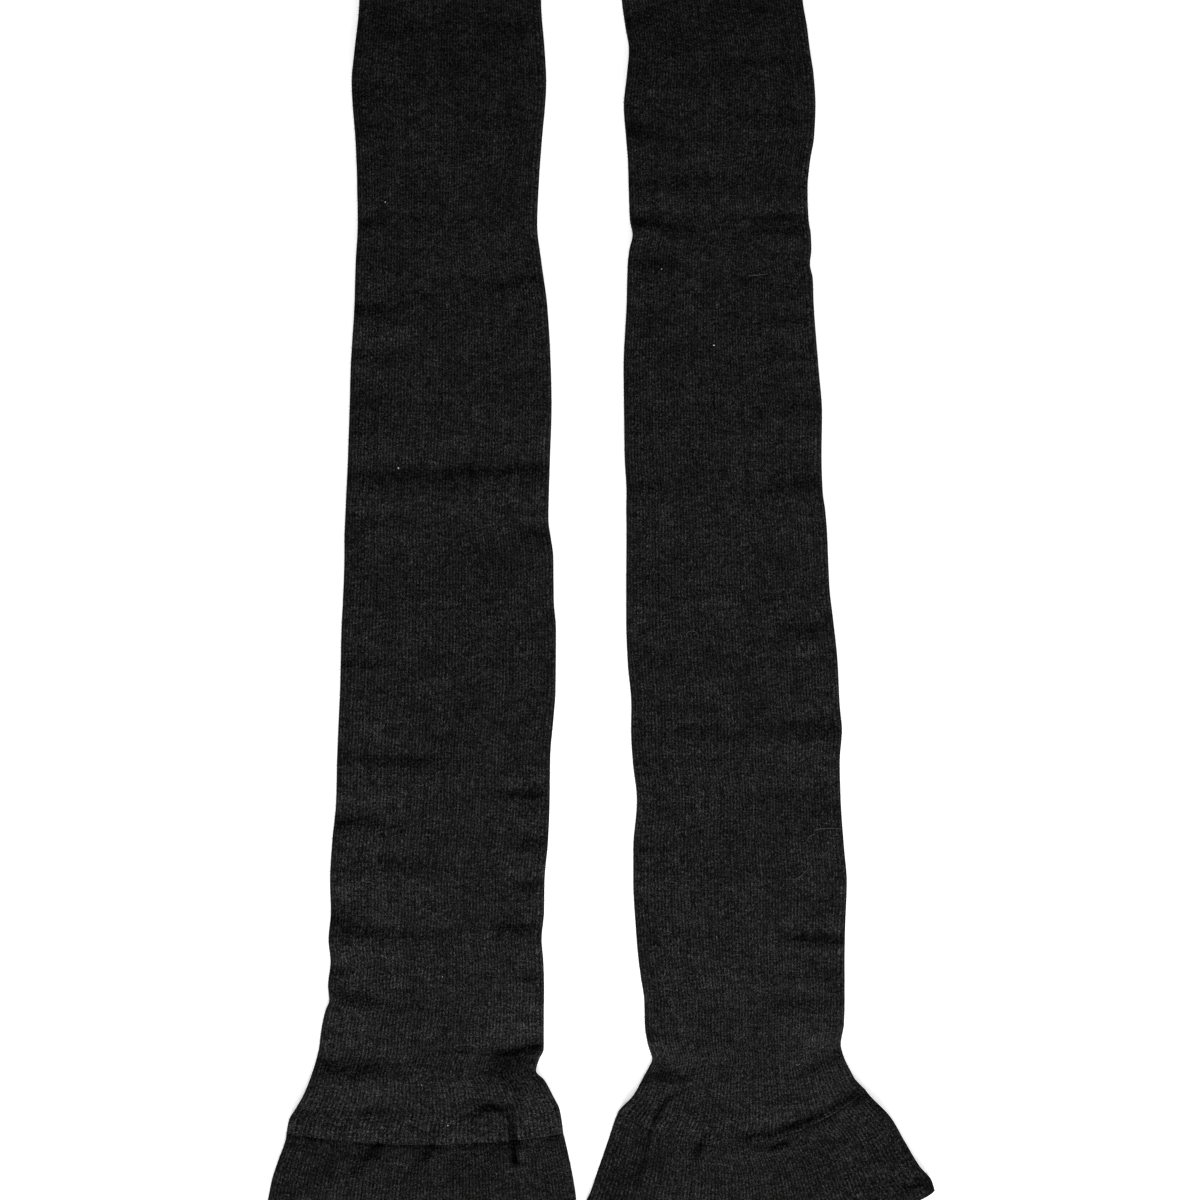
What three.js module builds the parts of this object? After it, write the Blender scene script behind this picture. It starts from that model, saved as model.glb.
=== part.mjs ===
// A pair of knitted over-the-calf socks, laid flat side by side with the instep up.
// Millimetres, +Z up. The socks lie on z = 0 with their toes towards +Y, and the origin is under the
// middle of the pair. Each sock is a flattened tube with a real wall: a turned welt at its mouth, the
// leg, a heel pocket folded flat under the ankle, the foot above that pocket, and a closed toe.

import * as THREE from "three";

// ---- Driving dimensions ----
const WALL = 1.3; // one layer of knit
const WELT_WALL = 1.9; // the welt is turned in, so its wall is two finer layers
const SLACK = 1.5; // loft between the upper and the lower panel of a tube
const MIN_SLACK = 0.3; // what is left of it at the bottom of a crease
const SEAM = 0.3; // gap between neighbouring pieces
const HEEL_SLACK = 0.4; // the heel pocket is pressed flatter than the tube

const WELT_LENGTH = 42; // hem to the end of the welt, on the centreline
const HEEL_ROOT = 429; // hem to the course where the heel pocket starts
const HEEL_DEPTH = 43; // length of the folded pocket
const HEEL_TIP_SHARE = 0.36; // its width at the tip, as a share of its width at the root
const TOE_SEAM = 567; // hem to the linked seam of the toe
const SOCK_LENGTH = 612; // hem to the tip of the toe

const TUBE_HEIGHT = 2 * WALL + SLACK;
const WELT_HEIGHT = 2 * WELT_WALL + SLACK;
const HEEL_HEIGHT = 2 * WALL + HEEL_SLACK;
const HEEL_LIFT = HEEL_HEIGHT + SEAM; // how far the foot lies above the floor on the pocket
const HEEL_RISE = 20; // length over which the leg opens up to that height
const HEEL_LEDGE = 7; // how far past the pocket's edge the foot still lies at that height
const HEEL_DRAPE = 13; // and the length over which it then comes down to the floor
const WELT_STEP = 9; // length over which the leg thickens to meet the welt
const TOE_THINNING = 0.35; // share of the height that the toe loses at its tip
const TIP_WALLS = 1.5; // the cloth gathers at a closed tip and is this many walls thick there

// ---- Outlines ----
// A row for each section. along: distance from the hem on the centreline. left, right: its side folds.
// bow: how far the course's ends lie ahead of its middle. tilt: how far its right end lies ahead, and
// its left end behind.
const LEFT_SECTIONS = [
  { along: 0, left: -137.9, right: -8, bow: 6, tilt: 0 }, // hem
  { along: 13, left: -135.1, right: -8.5, bow: 6, tilt: 0 },
  { along: 22, left: -133.3, right: -9.7, bow: 5.7, tilt: 0 },
  { along: 31, left: -130.5, right: -11.4, bow: 5.3, tilt: 0 },
  { along: 39.5, left: -127.7, right: -13.2, bow: 4.7, tilt: 0 },
  { along: 42, left: -127.4, right: -13.8, bow: 4.5, tilt: 0 }, // end of the welt
  { along: 48, left: -126.4, right: -14.5, bow: 4, tilt: 0 },
  { along: 53, left: -123.7, right: -15.4, bow: 3.6, tilt: 0 },
  { along: 59, left: -120.6, right: -18.1, bow: 3, tilt: 0 }, // flare
  { along: 66, left: -117.9, right: -21.6, bow: 2.5, tilt: 0 },
  { along: 70, left: -116.6, right: -25, bow: 2.2, tilt: 0 }, // pinch on the right
  { along: 75, left: -115.2, right: -23.7, bow: 1.9, tilt: 0 },
  { along: 79.5, left: -114.2, right: -21.8, bow: 1.5, tilt: 0 },
  { along: 88, left: -113.2, right: -21.8, bow: 0.9, tilt: 0 },
  { along: 96.5, left: -111.4, right: -21.8, bow: 0.5, tilt: 0 },
  { along: 101, left: -109.9, right: -21.7, bow: 0.2, tilt: 0 },
  { along: 107, left: -110.4, right: -21.7, bow: 0, tilt: 0 },
  { along: 117, left: -109.4, right: -22, bow: 0, tilt: 0 },
  { along: 126, left: -110.2, right: -22.7, bow: 0, tilt: 0 },
  { along: 137, left: -109.3, right: -21.7, bow: 0, tilt: 0 },
  { along: 150, left: -109.6, right: -21.5, bow: 0, tilt: 0 }, // calf
  { along: 166, left: -108.7, right: -20.1, bow: 0, tilt: 0 },
  { along: 183, left: -107.1, right: -19.4, bow: 0, tilt: 0 },
  { along: 200, left: -106.7, right: -19.2, bow: 0, tilt: 0 },
  { along: 217, left: -106, right: -17.8, bow: 0, tilt: 0 },
  { along: 228, left: -105.5, right: -17, bow: 0, tilt: 0 },
  { along: 253, left: -104.9, right: -16.8, bow: 0, tilt: 0 },
  { along: 265, left: -104.3, right: -17.7, bow: 0, tilt: 0 },
  { along: 283, left: -103.7, right: -17.9, bow: 0, tilt: 0 },
  { along: 290, left: -103.7, right: -18.8, bow: 0, tilt: 0 },
  { along: 298, left: -103.4, right: -19.9, bow: 0, tilt: 0 },
  { along: 322, left: -102.3, right: -19.3, bow: 0, tilt: 0 },
  { along: 345, left: -101.5, right: -18.6, bow: 0, tilt: 0 },
  { along: 360, left: -101.1, right: -18.9, bow: 0, tilt: 0 },
  { along: 385, left: -99.6, right: -20.3, bow: 0, tilt: 0 },
  { along: 404, left: -99, right: -22.8, bow: 0, tilt: 0 },
  { along: 419, left: -98.2, right: -24.5, bow: 0, tilt: 0 }, // ankle
  { along: 438, left: -98.4, right: -23.7, bow: 0, tilt: 0 },
  { along: 452, left: -99, right: -22.7, bow: 0, tilt: 0 },
  { along: 478, left: -100.7, right: -20.8, bow: 0, tilt: 0 }, // over the heel pocket
  { along: 490, left: -99.6, right: -21.4, bow: 0, tilt: 0 },
  { along: 511, left: -97.6, right: -22.9, bow: 0, tilt: 0 },
  { along: 567, left: -97, right: -21.6, bow: 0, tilt: 0 }, // toe seam
  { along: 587, left: -94.5, right: -24.1, bow: 0, tilt: 0 },
  { along: 599, left: -89.5, right: -29.1, bow: -1, tilt: 0 },
  { along: 606.5, left: -83, right: -35.6, bow: -2, tilt: 0 },
  { along: 610.5, left: -76, right: -42.6, bow: -2, tilt: 0 },
  { along: 612, left: -69, right: -49.6, bow: -1, tilt: 0 }, // tip
];
const RIGHT_SECTIONS = [
  { along: 0, left: -5.8, right: 138.8, bow: 17, tilt: 5.5 }, // hem
  { along: 5, left: -5.2, right: 137, bow: 17.3, tilt: 5.4 },
  { along: 10, left: -2.9, right: 132.4, bow: 17.6, tilt: 5.4 },
  { along: 20, left: 0.8, right: 126.3, bow: 18, tilt: 5.1 },
  { along: 30, left: 4.4, right: 120.7, bow: 18, tilt: 4.8 },
  { along: 42, left: 8.5, right: 110.4, bow: 17.5, tilt: 4.5 }, // end of the welt
  { along: 46, left: 10.7, right: 108.6, bow: 15.8, tilt: 4 },
  { along: 50, left: 13.4, right: 107.3, bow: 13.8, tilt: 3.4 },
  { along: 55, left: 15.7, right: 105.7, bow: 11.2, tilt: 2.8 },
  { along: 60, left: 17.3, right: 104.5, bow: 8.8, tilt: 2.4 }, // flare
  { along: 66, left: 19.2, right: 102.7, bow: 6.3, tilt: 2.3 },
  { along: 72, left: 21.2, right: 100.8, bow: 4.4, tilt: 2.8 },
  { along: 77, left: 22.6, right: 100, bow: 3, tilt: 3 }, // pinch on both sides
  { along: 83, left: 20.8, right: 100.4, bow: 1.5, tilt: 1.5 },
  { along: 90, left: 19.6, right: 101.3, bow: 0.5, tilt: 0.5 },
  { along: 101, left: 19.3, right: 101.6, bow: 0, tilt: 0 },
  { along: 110, left: 18, right: 101.6, bow: 0, tilt: 0 },
  { along: 118, left: 16.9, right: 101.6, bow: 0, tilt: 0 },
  { along: 130, left: 15.9, right: 101.8, bow: 0, tilt: 0 },
  { along: 150, left: 14.8, right: 102.5, bow: 0, tilt: 0 }, // calf
  { along: 163, left: 14.8, right: 101.4, bow: 0, tilt: 0 },
  { along: 183, left: 16.3, right: 100, bow: 0, tilt: 0 },
  { along: 199, left: 14.6, right: 99.6, bow: 0, tilt: 0 },
  { along: 212, left: 13.9, right: 100.5, bow: 0, tilt: 0 },
  { along: 222, left: 14, right: 99.6, bow: 0, tilt: 0 },
  { along: 240, left: 12.5, right: 98.7, bow: 0, tilt: 0 },
  { along: 257, left: 11.9, right: 96.9, bow: 0, tilt: 0 },
  { along: 270, left: 11.9, right: 95.4, bow: 0, tilt: 0 },
  { along: 294, left: 12, right: 94.3, bow: 0, tilt: 0 },
  { along: 303, left: 11.9, right: 93.5, bow: 0, tilt: 0 },
  { along: 309, left: 12, right: 92.6, bow: 0, tilt: 0 },
  { along: 325, left: 11.2, right: 92.1, bow: 0, tilt: 0 },
  { along: 342, left: 11, right: 92.3, bow: 0, tilt: 0 },
  { along: 360, left: 10.8, right: 90.9, bow: 0, tilt: 0 },
  { along: 388, left: 12.1, right: 88.8, bow: 0, tilt: 0 },
  { along: 397, left: 12.3, right: 88.5, bow: 0, tilt: 0 },
  { along: 403, left: 12.5, right: 87.3, bow: 0, tilt: 0 }, // pinch on the right
  { along: 409, left: 13.2, right: 87.9, bow: 0, tilt: 0 },
  { along: 415, left: 14.5, right: 87.7, bow: 0, tilt: 0 }, // ankle, pinched on the left
  { along: 421, left: 13.4, right: 86.8, bow: 0, tilt: 0 },
  { along: 434, left: 12.9, right: 86.3, bow: 0, tilt: 0 },
  { along: 445, left: 12.6, right: 87.3, bow: 0, tilt: 0 },
  { along: 455, left: 11.8, right: 89, bow: 0, tilt: 0 },
  { along: 468, left: 10.9, right: 89.6, bow: 0, tilt: 0 }, // over the heel pocket
  { along: 480, left: 12.1, right: 88.9, bow: 0, tilt: 0 },
  { along: 491, left: 13, right: 87.3, bow: 0, tilt: 0 },
  { along: 500, left: 11.6, right: 86.2, bow: 0, tilt: 0 },
  { along: 511, left: 10.1, right: 84.4, bow: 0, tilt: 0 },
  { along: 540, left: 8, right: 82.5, bow: 0, tilt: 0 },
  { along: 567, left: 6.5, right: 81, bow: 0, tilt: 0 }, // toe seam
  { along: 587, left: 8.5, right: 78.5, bow: 0, tilt: 0 },
  { along: 599, left: 13.5, right: 73.5, bow: -1, tilt: 0 },
  { along: 606.5, left: 20, right: 67, bow: -2, tilt: 0 },
  { along: 610.5, left: 27, right: 60, bow: -2, tilt: 0 },
  { along: 612, left: 34, right: 53, bow: -1, tilt: 0 }, // tip
];

// ---- Creases of the upper panel ----
// A row for each crease: a soft trough from (x1, y1) to (x2, y2), y being the distance from the hem.
// It is deepest in the middle and fades out at its ends.
const LEFT_CREASES = [
  { x1: -112, y1: 315, x2: -12, y2: 320, depth: 1.5, width: 3.2 }, // across the leg
  { x1: -112, y1: 385, x2: -68, y2: 387, depth: 2.0, width: 3.4 }, // above the ankle
  { x1: -122, y1: 207, x2: -48, y2: 197, depth: 1.5, width: 3.2 },
  { x1: -124, y1: 138, x2: -62, y2: 129, depth: 1.4, width: 3.2 },
  { x1: -118, y1: 112, x2: -96, y2: 112, depth: 1.6, width: 2.8 },
  { x1: -50, y1: 79, x2: -8, y2: 81, depth: 2.4, width: 3.6 }, // at the pinch
  { x1: -132, y1: 73, x2: -84, y2: 72, depth: 1.6, width: 4.0 },
  { x1: -35.5, y1: 64, x2: -33, y2: 30, depth: 2.2, width: 3.0 }, // puckers at the welt
  { x1: -92, y1: 48, x2: -95, y2: 26, depth: 1.7, width: 3.4 },
  { x1: -70, y1: 46, x2: -72, y2: 30, depth: 1.5, width: 3.0 },
];
const RIGHT_CREASES = [
  { x1: 2, y1: 418, x2: 44, y2: 419, depth: 2.2, width: 3.2 }, // at the ankle
  { x1: 54, y1: 420, x2: 100, y2: 422, depth: 2.2, width: 4.2 },
  { x1: 2, y1: 459, x2: 36, y2: 455, depth: 1.8, width: 3.2 },
  { x1: 18, y1: 221, x2: 60, y2: 217, depth: 1.5, width: 3.0 },
  { x1: 72, y1: 211, x2: 112, y2: 216, depth: 1.8, width: 3.4 },
  { x1: 68, y1: 128, x2: 116, y2: 125, depth: 2.3, width: 3.2 },
  { x1: 33, y1: 68, x2: 22, y2: 48, depth: 2.2, width: 3.0 }, // puckers at the welt
  { x1: 23, y1: 52, x2: 18, y2: 26, depth: 1.8, width: 3.0 },
  { x1: 45, y1: 54, x2: 40.5, y2: 30, depth: 2.2, width: 3.0 },
  { x1: 118, y1: 68, x2: 88, y2: 51, depth: 2.2, width: 3.0 },
  { x1: 94, y1: 53, x2: 60, y2: 45, depth: 1.9, width: 2.8 },
  { x1: 82, y1: 45, x2: 69, y2: 36, depth: 1.6, width: 2.8 },
];
const LIP_OFFSET = 2.1; // a crease's raised lips lie this many widths to either side
const LIP_SHARE = 0.4; // and rise this share of its depth
const CREASE_REACH = 3.6; // nothing is left of it this many widths away

// ---- Mesh density ----
const RING_SPACING = 13; // the most between sections where the cloth lies plain
const FOOT_SPACING = 6.5; // where the foot drapes over the heel pocket
const TOE_SPACING = 4.5; // round the end of the toe
const CREASE_SPACING = 3.2; // where a crease runs across
const LEAST_SPACING = 2.5; // no two sections lie closer than this
const INNER_STEP = 2; // the inside takes every second section
const TUBE_COLUMNS = { top: 13, bottom: 3, side: 3 };
const WELT_COLUMNS = { top: 25, bottom: 5, side: 3 };
const FOOT_COLUMNS = { top: 13, bottom: 9, side: 3 };

const MATERIAL_ROUGHNESS = 0.95;
const KNIT_COLOUR = 0x1b1b1c;
const REINFORCED_COLOUR = 0x171718;

const ease = (t) => THREE.MathUtils.smoothstep(t, 0, 1);
const bell = (t) => Math.exp(-t * t);

// A function that reads any column of a table at any place along the sock, on a cubic that passes
// through the rows and never overshoots them.
function smoothTable(rows) {
  const at = rows.map((row) => row.along);
  const gap = (i) => at[i + 1] - at[i];
  const rise = (i, column) => (rows[i + 1][column] - rows[i][column]) / gap(i);
  const slope = (i, column) => {
    if (i === 0 || i === rows.length - 1) return rise(Math.min(i, rows.length - 2), column);
    const before = rise(i - 1, column);
    const after = rise(i, column);
    return before * after <= 0 ? 0 : (2 * before * after) / (before + after);
  };
  const read = (along, column) => {
    const place = THREE.MathUtils.clamp(along, at[0], at.at(-1));
    const i = Math.min(rows.length - 2, Math.max(0, at.findLastIndex((a) => a <= place)));
    const t = (place - at[i]) / gap(i);
    const start = rows[i][column];
    const end = rows[i + 1][column];
    const lead = slope(i, column) * gap(i);
    const trail = slope(i + 1, column) * gap(i);
    const keep = 1 - t;
    return (
      start * keep * keep * (1 + 2 * t) + lead * t * keep * keep +
      end * t * t * (3 - 2 * t) - trail * t * t * keep
    );
  };
  read.rows = at;
  return read;
}

// Height of the creases' troughs and lips at a point of the upper panel.
function creaseRelief(creases, x, y) {
  let height = 0;
  for (const { x1, y1, x2, y2, depth, width } of creases) {
    const length = Math.hypot(x2 - x1, y2 - y1);
    const forward = ((x - x1) * (x2 - x1) + (y - y1) * (y2 - y1)) / length;
    const away = Math.abs((x - x1) * (y2 - y1) - (y - y1) * (x2 - x1)) / length;
    if (forward <= 0 || forward >= length || away > CREASE_REACH * width) continue;
    const fade = Math.sin((Math.PI * forward) / length) ** 0.7;
    const trough = bell(away / width);
    const lips = bell((away - LIP_OFFSET * width) / width) + bell((away + LIP_OFFSET * width) / width);
    height += fade * depth * (LIP_SHARE * lips - trough);
  }
  return height;
}

// Half the width of the heel pocket at a place along the sock.
function heelHalfWidth(section, along) {
  const rootWidth = section(HEEL_ROOT, "right") - section(HEEL_ROOT, "left");
  const share = THREE.MathUtils.lerp(1, HEEL_TIP_SHARE, (along - HEEL_ROOT) / HEEL_DEPTH);
  return (rootWidth / 2) * share;
}

function heelCentre(section) {
  return (section(HEEL_ROOT, "left") + section(HEEL_ROOT, "right")) / 2;
}

// How high the foot's underside lies: on the pocket where that is under it, and draped down past it.
function footLift(section, x, y) {
  const pastTip = y - (HEEL_ROOT + HEEL_DEPTH);
  const tipOrHere = Math.min(y, HEEL_ROOT + HEEL_DEPTH);
  const pastSide = Math.abs(x - heelCentre(section)) - heelHalfWidth(section, tipOrHere);
  const away = Math.hypot(Math.max(0, pastTip), Math.max(0, pastSide));
  return HEEL_LIFT * (1 - ease((away - HEEL_LEDGE) / HEEL_DRAPE));
}

// The columns of a section: a place across its flats, from -1 to 1, and an angle up its round sides.
function sectionColumns({ top, bottom, side }) {
  const columns = [];
  for (let i = 0; i < bottom; i++) {
    columns.push({ across: -1 + (2 * i) / (bottom - 1), angle: -Math.PI / 2 });
  }
  for (let i = 1; i <= side; i++) {
    columns.push({ across: 1, angle: -Math.PI / 2 + (Math.PI * i) / (side + 1) });
  }
  for (let i = 0; i < top; i++) {
    columns.push({ across: 1 - (2 * i) / (top - 1), angle: Math.PI / 2 });
  }
  for (let i = 1; i <= side; i++) {
    columns.push({ across: -1, angle: Math.PI / 2 - (Math.PI * i) / (side + 1) });
  }
  return columns;
}

// One ring of points round a flattened tube. inset is 0 on the outside, or the wall on the inside.
function ringPoints(form, along, inset) {
  const { section, height, lift, creases, columns } = form;
  const left = section(along, "left");
  const right = section(along, "right");
  const centre = (left + right) / 2;
  const halfWidth = (right - left) / 2;
  const fullHeight = height(along);
  const radius = fullHeight / 2 - inset;
  return columns.map(({ across, angle }) => {
    const x = centre + across * (halfWidth - fullHeight / 2 + Math.cos(angle) * radius * Math.abs(across));
    const reach = (x - centre) / halfWidth;
    const y = along + section(along, "bow") * reach * reach + section(along, "tilt") * reach;
    const relief = Math.max(creaseRelief(creases, x, y), MIN_SLACK - SLACK);
    const upTheSide = (1 + Math.sin(angle)) / 2;
    const z = lift(x, y) + inset + upTheSide * (2 * radius + relief);
    return new THREE.Vector3(x, y, z);
  });
}

// Stations along a piece: at the outline's rows, and close together across its creases.
function ringStations({ from, to, rows, creases, spacing }) {
  const stations = [...rows];
  for (const { x1, y1, x2, y2, width } of creases) {
    if (Math.abs(y2 - y1) > Math.abs(x2 - x1)) continue; // it runs along the sock
    const low = Math.min(y1, y2) - LIP_OFFSET * width;
    const high = Math.max(y1, y2) + LIP_OFFSET * width;
    for (let y = low; y <= high; y += CREASE_SPACING) stations.push(y);
  }
  const inside = stations.filter((y) => y < to - LEAST_SPACING).sort((a, b) => a - b);
  const kept = [from];
  for (const y of [...inside, to]) {
    const gap = y - kept.at(-1);
    if (gap < LEAST_SPACING) continue;
    const steps = Math.ceil(gap / spacing);
    const last = kept.at(-1);
    for (let i = 1; i <= steps; i++) kept.push(last + (gap * i) / steps);
  }
  return kept;
}

// A flattened tube with a wall, as one closed mesh. It is open at both ends, or closed at the far one.
function tubeGeometry({ from, to, wall, closed = false, spacing = RING_SPACING, ...form }) {
  const stations = ringStations({ from, to, spacing, rows: form.section.rows, creases: form.creases });
  const innerEnd = closed ? to - TIP_WALLS * wall : to;
  const everySecond = stations.filter((y, i) => i % INNER_STEP === 0);
  const innerStations = [...everySecond.filter((y) => y < innerEnd - LEAST_SPACING), innerEnd];
  const points = [];
  const addRings = (list, inset) => list.map((along) => {
    const first = points.length;
    points.push(...ringPoints(form, along, inset));
    return first;
  });
  const outer = addRings(stations, 0);
  const inner = addRings(innerStations, wall);

  const faces = [];
  const count = form.columns.length;
  const band = (ringA, ringB) => {
    for (let i = 0; i < count; i++) {
      const next = (i + 1) % count;
      faces.push(ringA + i, ringB + next, ringA + next, ringA + i, ringB + i, ringB + next);
    }
  };
  const cap = (ring, towardsToe) => {
    const middle = new THREE.Vector3();
    for (let i = 0; i < count; i++) middle.addScaledVector(points[ring + i], 1 / count);
    points.push(middle);
    for (let i = 0; i < count; i++) {
      const pair = [ring + i, ring + ((i + 1) % count)];
      faces.push(...(towardsToe ? pair.reverse() : pair), points.length - 1);
    }
  };
  for (let i = 1; i < outer.length; i++) band(outer[i - 1], outer[i]);
  for (let i = 1; i < inner.length; i++) band(inner[i], inner[i - 1]);
  band(inner[0], outer[0]);
  if (closed) {
    cap(outer.at(-1), true);
    cap(inner.at(-1), false);
  } else {
    band(outer.at(-1), inner.at(-1));
  }

  const geometry = new THREE.BufferGeometry();
  geometry.setAttribute("position", new THREE.Float32BufferAttribute(points.flatMap((p) => p.toArray()), 3));
  geometry.setIndex(faces);
  return geometry;
}

const knit = new THREE.MeshStandardMaterial({
  name: "knit", color: KNIT_COLOUR, roughness: MATERIAL_ROUGHNESS, metalness: 0,
});
const reinforcedKnit = new THREE.MeshStandardMaterial({
  name: "reinforced_knit", color: REINFORCED_COLOUR, roughness: MATERIAL_ROUGHNESS, metalness: 0,
});

function piece(name, material, shape) {
  const mesh = new THREE.Mesh(tubeGeometry(shape), material);
  mesh.name = name;
  return mesh;
}

// The turned welt at the mouth of the sock.
function makeWelt(side, section, creases) {
  return piece(`${side}_welt`, knit, {
    section, creases, columns: sectionColumns(WELT_COLUMNS),
    from: 0, to: WELT_LENGTH - SEAM, wall: WELT_WALL,
    height: () => WELT_HEIGHT, lift: () => 0,
  });
}

// The leg. Its lower panel stays on the floor, and its upper one rises onto the foot and heel pocket.
function makeLeg(side, section, creases) {
  const height = (along) =>
    TUBE_HEIGHT +
    (WELT_HEIGHT - TUBE_HEIGHT) * (1 - ease((along - WELT_LENGTH) / WELT_STEP)) +
    HEEL_LIFT * ease((along - HEEL_ROOT + HEEL_RISE) / HEEL_RISE);
  return piece(`${side}_leg`, knit, {
    section, creases, columns: sectionColumns(TUBE_COLUMNS),
    from: WELT_LENGTH, to: HEEL_ROOT, wall: WALL, height, lift: () => 0,
  });
}

// The heel pocket, folded flat under the foot: it narrows along its gores and is closed at its tip.
function makeHeel(side, section) {
  const pocket = (along, column) => {
    if (column === "bow" || column === "tilt") return 0;
    const outward = column === "left" ? -1 : 1;
    return heelCentre(section) + outward * heelHalfWidth(section, along);
  };
  pocket.rows = [];
  return piece(`${side}_heel`, reinforcedKnit, {
    section: pocket, creases: [], columns: sectionColumns({ ...TUBE_COLUMNS, top: 5 }),
    from: HEEL_ROOT + SEAM, to: HEEL_ROOT + HEEL_DEPTH, wall: WALL, closed: true,
    height: () => HEEL_HEIGHT, lift: () => 0,
  });
}

// The foot, which lies on the heel pocket and then comes down to the floor.
function makeFoot(side, section, creases) {
  return piece(`${side}_foot`, knit, {
    section, creases, columns: sectionColumns(FOOT_COLUMNS),
    from: HEEL_ROOT + SEAM, to: TOE_SEAM, wall: WALL, spacing: FOOT_SPACING,
    height: () => TUBE_HEIGHT, lift: (x, y) => footLift(section, x, y),
  });
}

// The toe pocket, closed at its tip and linked to the foot by a seam.
function makeToe(side, section) {
  const thinning = (along) => ease((along - TOE_SEAM) / (SOCK_LENGTH - TOE_SEAM));
  return piece(`${side}_toe`, reinforcedKnit, {
    section, creases: [], columns: sectionColumns(TUBE_COLUMNS),
    from: TOE_SEAM + SEAM, to: SOCK_LENGTH, wall: WALL, closed: true, spacing: TOE_SPACING,
    height: (along) => TUBE_HEIGHT * (1 - TOE_THINNING * thinning(along)), lift: () => 0,
  });
}

function makeSock(side, sections, creases) {
  const section = smoothTable(sections);
  const sock = new THREE.Group();
  sock.name = `${side}_sock`;
  sock.add(
    makeWelt(side, section, creases),
    makeLeg(side, section, creases),
    makeHeel(side, section),
    makeFoot(side, section, creases),
    makeToe(side, section),
  );
  return sock;
}

const pair = new THREE.Group();
pair.name = "over_the_calf_socks";
pair.add(makeSock("left", LEFT_SECTIONS, LEFT_CREASES), makeSock("right", RIGHT_SECTIONS, RIGHT_CREASES));
const middle = new THREE.Box3().setFromObject(pair, true).getCenter(new THREE.Vector3());
pair.position.set(-middle.x, -middle.y, 0);

export default pair;
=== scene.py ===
import math

import bpy
import numpy as np
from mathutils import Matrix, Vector


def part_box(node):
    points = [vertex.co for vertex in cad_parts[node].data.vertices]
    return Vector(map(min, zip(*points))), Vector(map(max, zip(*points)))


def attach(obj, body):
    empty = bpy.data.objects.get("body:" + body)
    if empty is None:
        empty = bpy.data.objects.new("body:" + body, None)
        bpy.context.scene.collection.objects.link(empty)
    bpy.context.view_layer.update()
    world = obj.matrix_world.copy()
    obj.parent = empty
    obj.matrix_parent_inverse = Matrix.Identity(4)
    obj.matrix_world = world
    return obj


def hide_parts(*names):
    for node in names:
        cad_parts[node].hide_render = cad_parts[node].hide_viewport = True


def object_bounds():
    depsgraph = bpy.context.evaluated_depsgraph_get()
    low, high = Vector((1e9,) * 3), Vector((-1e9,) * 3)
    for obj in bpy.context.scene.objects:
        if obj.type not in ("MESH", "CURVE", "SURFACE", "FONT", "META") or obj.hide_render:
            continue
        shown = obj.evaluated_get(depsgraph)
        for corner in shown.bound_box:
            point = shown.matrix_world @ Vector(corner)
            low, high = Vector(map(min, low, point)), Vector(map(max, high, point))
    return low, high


# A pair of charcoal over-the-calf socks, laid flat with the instep up. The socks are written in
# millimetres from the hem (y) and from the pair's middle line (x), and MM turns them into metres.
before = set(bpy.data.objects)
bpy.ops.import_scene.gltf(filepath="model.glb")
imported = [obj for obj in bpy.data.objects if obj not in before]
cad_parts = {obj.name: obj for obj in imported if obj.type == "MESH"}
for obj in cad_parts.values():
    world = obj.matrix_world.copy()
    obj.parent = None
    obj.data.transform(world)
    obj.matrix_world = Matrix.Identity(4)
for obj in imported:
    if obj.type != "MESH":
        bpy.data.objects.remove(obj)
CAD_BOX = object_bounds()

MM = 0.001
HEM_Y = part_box("left_welt")[0].y / MM
MIDDLE_X = (CAD_BOX[0].x + CAD_BOX[1].x) / 2 / MM
RNG = np.random.default_rng(1440)

# ---- Cloth ----
WALES = 136  # stitches round the sock
WELT_WALES = 188  # the flared welt has more of them
COURSE = 0.62  # height of one stitch
WALL = 1.0
TUBE_HEIGHT = 4.1
WELT_HEIGHT = 6.1
EDGE_ROUND = 2.4  # how far in from a side fold the cloth starts to turn down
LEFT_ROUND, RIGHT_ROUND = 0.35, 1.4  # shares of that at each sock's left and right folds
EDGE_MOST = 0.6  # and the most of a sock's half-width that it may be
LEAST_SLACK = 0.25  # between the two panels at the bottom of a crease

WELT_LENGTH = 42
CALF = 112  # where the flare ends
WELT_LEAD = 24  # how far up the leg the tube starts to thicken
WELT_RISE = 46  # and over what length it comes to the welt's height
HEEL_ROOT = 429
HEEL_DEPTH = 42.5
HEEL_TIP_SHARE = 0.36
HEEL_HEIGHT = 2.9
HEEL_LIFT = 3.3
HEEL_FADE = 60  # how far past the pocket the upper panel takes to come down, towards the toes
HEEL_FADE_UP_LEG = 220  # and up the leg
HEEL_LEDGE = 7
HEEL_DRAPE = 13
HEEL_SIDE_SHARE = 0.6  # of a step past the pocket's sides, which bring the upper panel down more slowly
TOE_SEAM = 567
SOCK_LENGTH = 612
TOE_THINNING = 0.35
PIECE_GAP = 0.1

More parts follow.
